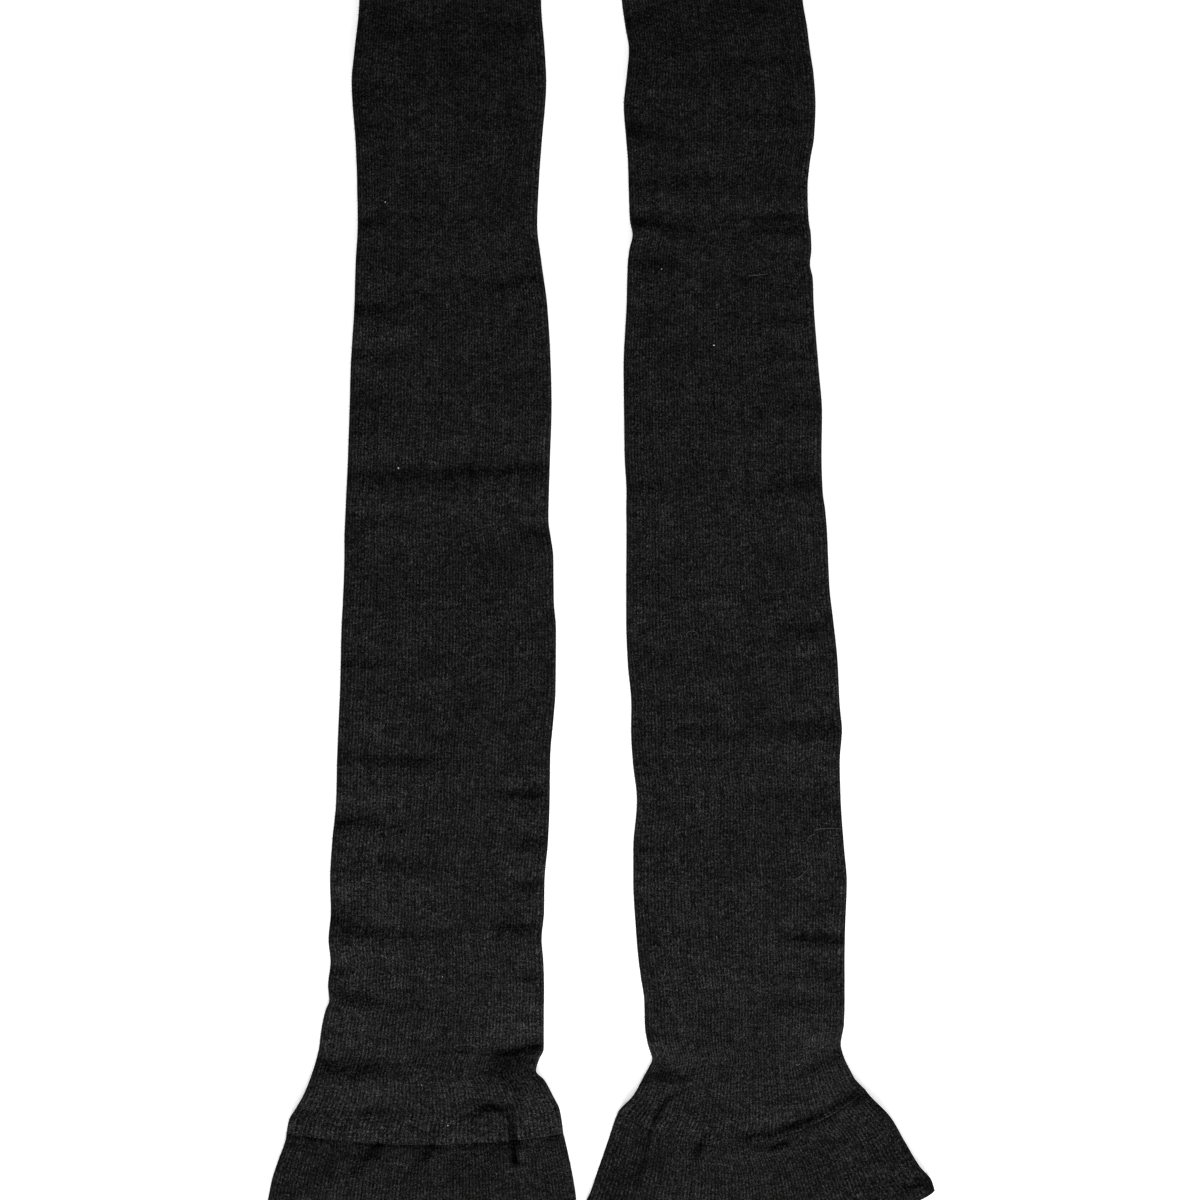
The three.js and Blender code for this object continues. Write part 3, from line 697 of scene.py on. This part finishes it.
def inner_rings(outer, columns):
    """The inside of the wall. It lies under the lowest outside point near by, so that no crease cuts
    through it where it is coarser than the outside."""
    up = (1 + np.sin(columns.angle))[None, :] / 2
    inner = outer.copy()
    centre_x = outer[..., 0].mean(1, keepdims=True)
    inner[..., 0] -= np.cos(columns.angle)[None, :] * np.sign(outer[..., 0] - centre_x) * WALL
    low = outer[..., 2].copy()
    for step in range(1, INNER_SPACING + 1):
        ahead = np.vstack([outer[step:, :, 2], np.repeat(outer[-1:, :, 2], step, 0)])
        behind = np.vstack([np.repeat(outer[:1, :, 2], step, 0), outer[:-step, :, 2]])
        low = np.minimum(low, np.minimum(ahead, behind))
    low = np.where(up > 0.99, low, outer[..., 2])
    inner[..., 2] = np.where(up > 0.5, low, outer[..., 2]) - np.sin(columns.angle)[None, :] * WALL
    return inner


def stations(start, *stretches):
    """Places along the sock: each stretch is its end and its spacing."""
    places = [[start]]
    for end, spacing in stretches:
        places.append(np.linspace(start, end, round((end - start) / spacing) + 1)[1:])
        start = end
    return np.concatenate(places)


def closed_quads(rings, count, start=0):
    """Quads between neighbouring rings of one closed tube, with the ring and column each starts from."""
    ring, column = np.meshgrid(np.arange(rings - 1), np.arange(count), indexing="ij")
    near, far = start + ring * count, start + (ring + 1) * count
    ahead = (column + 1) % count
    quads = np.stack([near + column, near + ahead, far + ahead, far + column], -1)
    return quads.reshape(-1, 4), ring.ravel(), column.ravel()


def knit_uvs(wale, course, ring, column):
    """The wale and course at each corner of the quads that closed_quads makes."""
    left, right = wale[column], wale[column + 1]
    near, far = course[ring], course[ring + 1]
    return np.stack([np.stack([left, right, right, left], -1), np.stack([near, near, far, far], -1)], -1)


def wall_faces(wale, course, inner_course):
    """Quads and UVs of a tube's outside and, facing inwards, of its inside, whose points come next."""
    count = len(wale) - 1
    quads, ring, column = closed_quads(len(course), count)
    quads_in, ring_in, column_in = closed_quads(len(inner_course), count, len(course) * count)
    uvs = knit_uvs(wale, course, ring, column).reshape(-1, 2)
    uvs_in = knit_uvs(wale, inner_course, ring_in, column_in)[:, ::-1].reshape(-1, 2)
    return [quads, quads_in[:, ::-1]], [uvs, uvs_in]


def fan(first, count, middle):
    """Triangles from each pair of neighbours in a ring to a point at its middle."""
    return [[first + c, first + (c + 1) % count, middle] for c in range(count)]


def mesh_object(name, points, faces, uvs, material):
    mesh = bpy.data.meshes.new(name)
    world = (points + np.array([MIDDLE_X, HEM_Y, 0])) * MM
    mesh.from_pydata(world.tolist(), [], faces)
    layer = mesh.uv_layers.new(name="knit")
    layer.data.foreach_set("uv", np.asarray(uvs, np.float32).ravel())
    mesh.shade_smooth()
    mesh.materials.append(material)
    obj = bpy.data.objects.new(name, mesh)
    bpy.context.scene.collection.objects.link(obj)
    return obj


def tube_object(name, sock, material, alongs, counts, hem=False, tip=False):
    """A stretch of the sock's tube with a wall, open at both ends, or closed at its tip."""
    columns = Columns(*counts)
    outer = outer_rings(sock, columns, alongs)
    count = len(columns.across)
    picks = np.unique(np.append(np.arange(0, len(alongs), INNER_SPACING), len(alongs) - 1))
    if tip:
        picks = picks[alongs[picks] < alongs[-1] - TIP_WALLS * WALL]
    inner = inner_rings(outer, columns)[picks]

    points = [outer.reshape(-1, 3), inner.reshape(-1, 3)]
    first_inner = len(alongs) * count
    wale = columns.round_it * (WELT_WALES if hem else WALES)
    course = alongs / COURSE
    faces, uvs = wall_faces(wale, course, course[picks])

    def join(outer_ring, inner_ring, at_course, flip):
        """The rim between the outside and the inside. At the hem it bulges as a folded edge does."""
        base = sum(len(p) for p in points)
        a, b = outer[outer_ring], inner[inner_ring]
        bands = HEM_STEPS if hem and outer_ring == 0 else 1
        mids = []
        for k in range(1, bands):
            t = k / bands
            mid = a * (1 - t) + b * t
            mid[:, 1] -= math.sin(math.pi * t) * WALL * HEM_BULGE
            mids.append(mid)
        points.extend(mids)
        c = np.arange(count)
        rows = [outer_ring * count + c]
        rows += [base + k * count + c for k in range(len(mids))]
        rows.append(first_inner + inner_ring * count + c)
        for k, (r0, r1) in enumerate(zip(rows[:-1], rows[1:])):
            quad = np.stack([r0, r1, np.roll(r1, -1), np.roll(r0, -1)], -1)
            u = np.stack([wale[c], wale[c], wale[c + 1], wale[c + 1]], -1)
            v = np.full((count, 4), at_course - k)
            v[:, 1:3] -= 1
            uv = np.stack([u, v], -1)
            if flip:
                quad, uv = quad[:, ::-1], uv[:, ::-1]
            faces.append(quad)
            uvs.append(uv.reshape(-1, 2))

    join(0, 0, course[0], False)
    if not tip:
        join(len(alongs) - 1, len(picks) - 1, course[-1], True)
    face_list = np.concatenate(faces).tolist()
    if tip:
        middle = sum(len(p) for p in points)
        points.append(outer[-1].mean(0, keepdims=True))
        points.append(inner[-1].mean(0, keepdims=True) + np.array([[0, WALL, 0]]))
        face_list += fan(first_inner - count, count, middle)
        last_in = first_inner + (len(picks) - 1) * count
        face_list += [[b, a, m] for a, b, m in fan(last_in, count, middle + 1)]
        uvs += [np.array([[wale[c], course[-1]]] * 3) for c in (*range(count), *range(count))]
    obj = mesh_object(name, np.concatenate(points), face_list, np.concatenate(uvs), material)
    return obj, outer, columns


# ---- Materials ----
def new_material(name):
    material = bpy.data.materials.new(name)
    material.use_nodes = True
    tree = material.node_tree
    tree.nodes.clear()
    return material, Graph(tree)


class Graph:
    """Short names for the shader nodes that a material is made of."""

    def __init__(self, tree):
        self.tree = tree

    def node(self, kind, **settings):
        node = self.tree.nodes.new(kind)
        for key, value in settings.items():
            setattr(node, key, value)
        return node

    def link(self, source, target):
        self.tree.links.new(source, target)

    def fill(self, socket, value):
        if isinstance(value, bpy.types.NodeSocket):
            self.link(value, socket)
        else:
            socket.default_value = value

    def math(self, operation, a, b=None, c=None):
        node = self.node("ShaderNodeMath", operation=operation)
        for socket, value in zip(node.inputs, (a, b, c)):
            if value is not None:
                self.fill(socket, value)
        return node.outputs[0]

    def wave(self, turns):
        """1 at each whole turn and 0 half way between."""
        cosine = self.math("COSINE", self.math("MULTIPLY", turns, 2 * math.pi))
        return self.math("MULTIPLY_ADD", cosine, 0.5, 0.5)

    def combine(self, x, y, z=0.0):
        node = self.node("ShaderNodeCombineXYZ")
        for socket, value in zip(node.inputs, (x, y, z)):
            self.fill(socket, value)
        return node.outputs[0]

    def noise(self, vector, scale, detail=2.0, roughness=0.5):
        node = self.node("ShaderNodeTexNoise")
        self.link(vector, node.inputs["Vector"])
        node.inputs["Scale"].default_value = scale
        node.inputs["Detail"].default_value = detail
        node.inputs["Roughness"].default_value = roughness
        return node.outputs["Fac"]

    def white(self, vector):
        node = self.node("ShaderNodeTexWhiteNoise", noise_dimensions="3D")
        self.link(vector, node.inputs["Vector"])
        return node.outputs["Value"]

    def speckle(self, dark, light, scale):
        """A colour that varies softly between two."""
        place = self.node("ShaderNodeTexCoord").outputs["Object"]
        ramp = self.node("ShaderNodeValToRGB")
        self.link(self.noise(place, scale, 2.0), ramp.inputs[0])
        ramp.color_ramp.elements[0].color = dark
        ramp.color_ramp.elements[1].color = light
        return ramp.outputs[0]

    def surface(self, colour, roughness, gloss):
        shader = self.node("ShaderNodeBsdfPrincipled")
        shader.inputs["Roughness"].default_value = roughness
        shader.inputs["Specular IOR Level"].default_value = gloss
        self.link(colour, shader.inputs["Base Color"])
        out = self.node("ShaderNodeOutputMaterial")
        self.link(shader.outputs[0], out.inputs[0])
        return shader


def knit_material(name, shade_of_yarn):
    """Fine plain knit in heathered yarn: wales and stitches from the UV map, which counts them."""
    material, g = new_material(name)
    uv = g.node("ShaderNodeUVMap", uv_map="knit").outputs[0]
    split = g.node("ShaderNodeSeparateXYZ")
    g.link(uv, split.inputs[0])
    wale, course = split.outputs[0], split.outputs[1]
    place = g.node("ShaderNodeTexCoord").outputs["Object"]

    # no wale runs quite straight
    wander = g.math("MULTIPLY_ADD", g.noise(place, WANDER_SCALE, 1.0), WANDER, -WANDER / 2)
    wale_here = g.math("ADD", wale, wander)
    off_middle = g.math("ABSOLUTE", g.math("SUBTRACT", g.math("FRACT", wale_here), 0.5))
    ridge = g.wave(off_middle)
    # the two legs of a stitch slope up from the middle of its wale
    slant = g.math("MULTIPLY_ADD", off_middle, STITCH_RISE, course)
    leg = g.wave(slant)

    # heathered yarn: each part of it shows more or fewer of the light fibres
    side = g.math("FLOOR", g.math("MULTIPLY", wale_here, 2.0))
    row = g.math("FLOOR", slant)
    leg_shade = g.white(g.combine(side, row, 0.0))
    yarn_shade = g.white(g.combine(g.math("FLOOR", g.math("DIVIDE", side, YARN_LEGS)), row, 5.0))
    ply = g.math("FLOOR", g.math("MULTIPLY", wale_here, PLIES_ACROSS))
    ply_shade = g.white(g.combine(ply, g.math("FLOOR", g.math("MULTIPLY", slant, PLIES_UP)), 11.0))
    wale_shade = g.white(g.combine(g.math("FLOOR", wale_here), 7.0, 0.0))
    fibre = g.noise(place, FIBRE_SCALE, 1.0, 0.8)
    streak = g.noise(g.combine(wale_here, g.math("MULTIPLY", course, STREAK_LENGTH)), 0.8, 2.0)
    line = g.noise(g.combine(g.math("MULTIPLY", wale_here, LINE_LENGTH), course, 3.0), 0.5, 2.0)
    mottle = g.noise(place, MOTTLE_SCALE, 4.0, 0.65)
    patch = g.noise(place, PATCH_SCALE, 2.0)
    tone = 0.0
    for shade, weight in (
        (leg_shade, LEG_FLECK),
        (ply_shade, PLY_FLECK),
        (yarn_shade, YARN_FLECK),
        (wale_shade, WALE_FLECK),
        (streak, STREAK),
        (line, COURSE_LINE),
        (fibre, FIBRE_FLECK),
        (mottle, MOTTLE),
        (patch, PATCH),
        # painted shade in the furrows between wales and at the ends of stitches
        (ridge, PAINTED_FURROW_SHADE),
        (leg, PAINTED_STITCH_SHADE),
    ):
        tone = g.math("MULTIPLY_ADD", g.math("SUBTRACT", shade, 0.5), weight, tone)
    colour = g.node("ShaderNodeVectorMath", operation="SCALE")
    colour.inputs[0].default_value = shade_of_yarn
    g.link(g.math("EXPONENT", tone), colour.inputs["Scale"])

    height = g.math("MULTIPLY", g.math("POWER", ridge, 0.7), g.math("MULTIPLY_ADD", leg, 0.35, 0.65))
    height = g.math("MULTIPLY_ADD", g.noise(place, FIBRE_BUMP_SCALE, 2.0, 0.7), 0.5, height)
    bump = g.node("ShaderNodeBump")
    bump.inputs["Strength"].default_value = KNIT_BUMP
    bump.inputs["Distance"].default_value = BUMP_DEPTH
    g.link(height, bump.inputs["Height"])

    shader = g.surface(colour.outputs[0], KNIT_ROUGHNESS, KNIT_GLOSS)
    g.link(bump.outputs[0], shader.inputs["Normal"])
    return material


def fibre_material(name, colour):
    material, g = new_material(name)
    dark = (*[c * 0.5 for c in colour], 1)
    light = (*[min(1, c * 1.4) for c in colour], 1)
    g.surface(g.speckle(dark, light, LOOSE_FIBRE_SCALE), 0.8, 0.2)
    return material


def floor_material():
    material, g = new_material("studio_floor")
    shader = g.surface(g.speckle((0.90, 0.90, 0.90, 1), (0.93, 0.93, 0.93, 1), 3.0), 0.9, 0.1)
    shader.inputs["Emission Color"].default_value = (1, 1, 1, 1)
    shader.inputs["Emission Strength"].default_value = FLOOR_GLOW
    return material


KNIT = knit_material("knit", (0.00720, 0.00717, 0.00714))
# the welt's yarn is darker than the leg's as painted shade, for the light falling off towards the cuff end
SHADED_WELT_KNIT = knit_material("welt_knit_painted_shade", (0.00558, 0.00555, 0.00552))
REINFORCED = knit_material("reinforced_knit", (0.00675, 0.00672, 0.00669))
FIBRE = fibre_material("loose_fibre", (0.07, 0.07, 0.07))
LINT = fibre_material("lint", (0.85, 0.85, 0.84))


# ---- Pieces ----
def heel_object(sock):
    """The heel pocket, folded flat under the ankle, with the gores' line of fashioning marks."""
    columns = Columns(*HEEL_COLUMNS)
    alongs = np.linspace(HEEL_ROOT + PIECE_GAP, HEEL_ROOT + HEEL_DEPTH, HEEL_RINGS)
    along = alongs[:, None] + 0 * columns.across[None, :]
    half = sock.heel_half_width(along) - HEEL_INSET
    into_tip = (along - HEEL_ROOT - HEEL_DEPTH + HEEL_TIP_ROUND) / HEEL_TIP_RADIUS
    tip_round = np.sqrt(np.clip(1 - into_tip**2, HEEL_TIP_LEAST, 1))
    tip_round = np.where(along > HEEL_ROOT + HEEL_DEPTH - HEEL_TIP_ROUND, tip_round, 1)
    across = columns.across[None, :]
    x = sock.heel_middle + across * (half * tip_round - HEEL_EDGE + np.cos(columns.angle) * HEEL_EDGE)
    tall = HEEL_HEIGHT * (HEEL_TIP_HEIGHT + (1 - HEEL_TIP_HEIGHT) * tip_round)
    up = (1 + np.sin(columns.angle)) / 2
    marks = HEEL_MARK_DEPTH * np.sin(along * HEEL_MARK_RATE)
    marks = marks * bell((np.abs(across) - HEEL_MARK_PLACE) / HEEL_MARK_WIDTH)
    z = up * (tall + np.minimum(0, marks)) + HEEL_CLEARANCE
    outer = np.stack([x, along, z], -1)
    inner = outer[:: HEEL_INNER_SPACING][:-1].copy()
    inner[..., 0] -= np.sign(across) * np.cos(columns.angle) * HEEL_WALL[0]
    inner[..., 2] -= np.sin(columns.angle) * HEEL_WALL[1]

    count = len(columns.across)
    first_inner = len(alongs) * count
    points = [outer.reshape(-1, 3), inner.reshape(-1, 3)]
    course = alongs / COURSE
    wale = WALES * columns.round_it
    faces, uvs = wall_faces(wale, course, course[: len(inner)])
    c = np.arange(count)
    rim = np.stack([c, first_inner + c, first_inner + (c + 1) % count, (c + 1) % count], -1)
    face_list = np.concatenate([*faces, rim]).tolist()
    uvs.append(np.stack([np.stack([wale[c]] * 4, -1), np.full((count, 4), course[0])], -1).reshape(-1, 2))
    middle = sum(len(p) for p in points)
    points.append(outer[-1].mean(0, keepdims=True))
    points.append(inner[-1].mean(0, keepdims=True))
    last_in = first_inner + (len(inner) - 1) * count
    tips = zip(fan(first_inner - count, count, middle), fan(last_in, count, middle + 1))
    for k, (face, (a, b, m)) in enumerate(tips):
        face_list += [face, [b, a, m]]
        uvs.append(np.array([[wale[k], course[-1]]] * 6))
    name = f"{sock.side}_heel_pocket"
    return mesh_object(name, np.concatenate(points), face_list, np.concatenate(uvs), REINFORCED)


def ribbon_points(start, direction, length, curl, lift, width, steps):
    """A thin curved strand as a flat ribbon: its two edges, step by step."""
    rows = []
    here = np.array(start, float)
    heading = direction
    for i in range(steps + 1):
        t = i / steps
        rise = lift * math.sin(math.pi * min(1, t * 1.1)) if lift > 0 else 0
        side = np.array([-math.sin(heading), math.cos(heading), RIBBON_TILT]) * width / 2
        point = here + np.array([0, 0, rise])
        rows += [point - side, point + side]
        here = here + np.array([math.cos(heading), math.sin(heading), 0]) * length / steps
        heading += curl / steps
    return rows


def fibre_object(name, strands):
    points, faces = [], []
    for rows in strands:
        base = len(points)
        points += rows
        for i in range(len(rows) // 2 - 1):
            a = base + 2 * i
            faces.append([a, a + 2, a + 3, a + 1])
    uvs = np.zeros((len(faces) * 4, 2))
    return mesh_object(name, np.array(points), faces, uvs, FIBRE)


def fibre_end(rng, start, turn, kind):
    """A strand of one kind of fuzz, drawn at random."""
    (shape, scale, least), curl, lift, width, steps = kind
    length = rng.gamma(shape, scale) + least
    return ribbon_points(start, turn, length, rng.normal(0, curl), rng.uniform(*lift), width, steps)


def fuzz(sock, outer, columns, part):
    """Short fibre ends that stand out of the yarn, more of them at the side folds."""
    name = f"{sock.side}_{part}_fuzz"
    on_top, at_edge = FUZZ[part]
    rng = np.random.default_rng(sock.seed + len(name))
    rings = len(outer)
    strands = []
    for _ in range(on_top):
        p = outer[rng.integers(0, rings), rng.integers(0, columns.top)]
        turn = rng.uniform(0, 2 * math.pi)
        strands.append(fibre_end(rng, p + [0, 0, FUZZ_CLEARANCE], turn, TOP_FUZZ))
    middle_x = outer[..., 0].mean(1)
    edge_columns = np.where(np.abs(np.cos(columns.angle)) > FOLD_COSINE)[0]
    for _ in range(at_edge):
        i = rng.integers(0, rings)
        p = outer[i, rng.choice(edge_columns)]
        outward = 0.0 if p[0] > middle_x[i] else math.pi
        turn = outward + rng.normal(0, EDGE_FUZZ_SPREAD)
        strands.append(fibre_end(rng, p, turn, EDGE_FUZZ))
    return fibre_object(name, strands)


def toe_seam_object(sock):
    """The linked seam across the toe: a low chain of stitches on the upper panel."""
    left, right = float(sock.section(TOE_SEAM, "left")), float(sock.section(TOE_SEAM, "right"))
    points, faces = [], []
    for k in range(int((right - left - 2 * SEAM_MARGIN) / SEAM_PITCH)):
        x = left + SEAM_MARGIN + (k + 0.5) * SEAM_PITCH
        base = len(points)
        for i in range(SEAM_RINGS):
            t = i / (SEAM_RINGS - 1)
            radius = SEAM_RADIUS * math.sin(math.pi * (0.12 + 0.76 * t))
            cx, cy = x + (t - 0.5) * SEAM_PITCH * SEAM_OVERLAP, TOE_SEAM + (t - 0.5) * SEAM_SLANT
            for j in range(SEAM_SIDES):
                a = 2 * math.pi * j / SEAM_SIDES
                z = TUBE_HEIGHT + SEAM_HEIGHT + math.sin(a) * radius * SEAM_FLATTENING
                points.append([cx, cy + math.cos(a) * radius, z])
        quads = closed_quads(SEAM_RINGS, SEAM_SIDES, base)[0]
        faces += quads[:, [0, 3, 2, 1]].tolist()
        last = base + (SEAM_RINGS - 1) * SEAM_SIDES
        faces.append([base + j for j in range(SEAM_SIDES)])
        faces.append([last + j for j in reversed(range(SEAM_SIDES))])
    # random places in the knit's pattern, so that the chain looks rough and shows no wales
    uvs = RNG.uniform(0, 40, (sum(len(f) for f in faces), 2))
    return mesh_object(f"{sock.side}_toe_seam", np.array(points), faces, uvs, REINFORCED)


def lint_object(socks):
    """Specks of lint: small uneven pebbles on the upper panels."""
    points, faces = [], []
    for x, y, size in LINT_SPECKS:
        z = socks[x > 0].top(x, y) + LINT_HEIGHT * size
        faces += closed_quads(LINT_RINGS, LINT_SIDES, len(points))[0].tolist()
        for i in range(LINT_RINGS):
            tilt = math.pi * i / (LINT_RINGS - 1) - math.pi / 2
            for j in range(LINT_SIDES):
                a = 2 * math.pi * j / LINT_SIDES
                wobble = 1 + LINT_WOBBLE * math.sin(3 * a + x)
                points.append(
                    [
                        x + math.cos(tilt) * math.cos(a) * size * wobble,
                        y + math.cos(tilt) * math.sin(a) * size * LINT_SHAPE[0] * wobble,
                        z + math.sin(tilt) * size * LINT_SHAPE[1],
                    ]
                )
    uvs = np.zeros((len(faces) * 4, 2))
    return mesh_object("lint_specks", np.array(points), faces, uvs, LINT)


def loose_fibre_object(socks):
    strands = []
    for x, y, turn, length, curl in LOOSE_FIBRES:
        start = (x, y, socks[x > 0].top(x, y) + FIBRE_CLEARANCE)
        turn, curl = math.radians(turn), math.radians(curl)
        strands.append(ribbon_points(start, turn, length, curl, FIBRE_LIFT, FIBRE_WIDTH, FIBRE_STEPS))
    return fibre_object("loose_fibres", strands)


def dress(obj, nodes=()):
    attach(obj, "root")
    if nodes:
        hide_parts(*nodes)
    return obj


def cloth_area(sock, start, end):
    """Flat area all round a stretch of the tube, in square metres, and its widest way round."""
    along = np.linspace(start, end, 60)
    width = 2 * (sock.section(along, "right") - sock.section(along, "left"))
    return float(width.mean()) * (end - start) * MM * MM, float(width.max()) * MM


def make_sock(sock):
    side = sock.side
    gap = PIECE_GAP / 2
    alongs = stations(WELT_LENGTH + gap, (WELT_LENGTH + 6, 0.4), (CALF, 0.75), (TOE_SEAM - gap, 1.5))
    leg, outer, columns = tube_object(f"{side}_leg_and_foot", sock, KNIT, alongs, LEG_COLUMNS)
    dress(leg, (f"{side}_leg", f"{side}_foot"))
    alongs = stations(HEM_START, (WELT_LENGTH - 6, 0.75), (WELT_LENGTH - gap, 0.35))
    welt, outer_welt, welt_columns = tube_object(
        f"{side}_turned_welt", sock, SHADED_WELT_KNIT, alongs, WELT_COLUMNS, hem=True
    )
    dress(welt, (f"{side}_welt",))
    alongs = stations(TOE_SEAM + gap, (SOCK_LENGTH - TIP_END, 1.0))
    toe, outer_toe, toe_columns = tube_object(
        f"{side}_toe_pocket", sock, REINFORCED, alongs, TOE_COLUMNS, tip=True
    )
    dress(toe, (f"{side}_toe",))
    heel = dress(heel_object(sock), (f"{side}_heel",))
    seam = dress(toe_seam_object(sock))
    dress(fuzz(sock, outer, columns, "leg"))
    dress(fuzz(sock, outer_welt, welt_columns, "welt"))
    dress(fuzz(sock, outer_toe, toe_columns, "toe"))

    for piece, start, end, more in (
        (leg, WELT_LENGTH, TOE_SEAM, {}),
        (welt, 0, WELT_LENGTH, {}),
        (toe, TOE_SEAM, SOCK_LENGTH, {"with_pieces": [seam]}),
    ):
        area, widest = cloth_area(sock, start, end)
    width = 4 * sock.heel_half * MM
    area = width * HEEL_DEPTH * MM * (1 + HEEL_TIP_SHARE) / 2


# ---- Floor, light and camera ----
def make_floor():
    mesh = bpy.data.meshes.new("studio_floor")
    signs = ((-1, -1), (1, -1), (1, 1), (-1, 1))
    mesh.from_pydata([(x * FLOOR_HALF, y * FLOOR_HALF, FLOOR_LEVEL) for x, y in signs], [], [(0, 1, 2, 3)])
    mesh.materials.append(floor_material())
    floor = bpy.data.objects.new("studio_floor", mesh)
    bpy.context.scene.collection.objects.link(floor)
    return floor


def softbox(name, size, place, energy):
    light = bpy.data.lights.new(name, "AREA")
    light.shape = "RECTANGLE"
    light.size, light.size_y = size
    light.energy = energy
    obj = bpy.data.objects.new(name, light)
    obj.location = place
    toward = Vector(LIGHTS_AIM) - Vector(place)
    obj.rotation_mode = "QUATERNION"
    obj.rotation_quaternion = toward.to_track_quat("-Z", "Y")
    bpy.context.scene.collection.objects.link(obj)


def make_lights():
    """A long low softbox beyond the cuffs, a larger one far to the right, and an even fill all round."""
    softbox("softbox_at_cuffs", size=(1.2, 0.5), place=(0.02, -1.1, 0.46), energy=29)
    softbox("softbox_on_right", size=(1.6, 0.8), place=(3.3, -0.4, 0.87), energy=52)
    world = bpy.data.worlds.new("studio")
    world.use_nodes = True
    background = world.node_tree.nodes["Background"]
    background.inputs[0].default_value = (1, 1, 1, 1)
    background.inputs[1].default_value = WORLD_STRENGTH
    bpy.context.scene.world = world


def make_camera():
    """Straight above, as the photograph is taken: the legs and the flares fill the frame."""
    camera = bpy.data.cameras.new("camera")
    camera.type = "PERSP"
    camera.sensor_width = SENSOR
    camera.lens = LENS
    camera.clip_start, camera.clip_end = 0.05, 100
    distance = VIEW_SPAN / 2 / (SENSOR / 2 / LENS)
    obj = bpy.data.objects.new("camera", camera)
    obj.location = (MIDDLE_X * MM + VIEW_X, VIEW_Y, AIM_HEIGHT + distance)
    bpy.context.scene.collection.objects.link(obj)
    bpy.context.scene.camera = obj


FLOOR = make_floor()
make_lights()
make_camera()
SOCKS = (
    Sock("left", LEFT_SECTIONS, LEFT_CREASES, LEFT_SWELLS, LEFT_GROOVE, seed=11),
    Sock("right", RIGHT_SECTIONS, RIGHT_CREASES, RIGHT_SWELLS, RIGHT_GROOVE, seed=29),
)
for each in SOCKS:
    make_sock(each)
dress(lint_object(SOCKS))
dress(loose_fibre_object(SOCKS))
bpy.context.scene.view_settings.view_transform = "Standard"
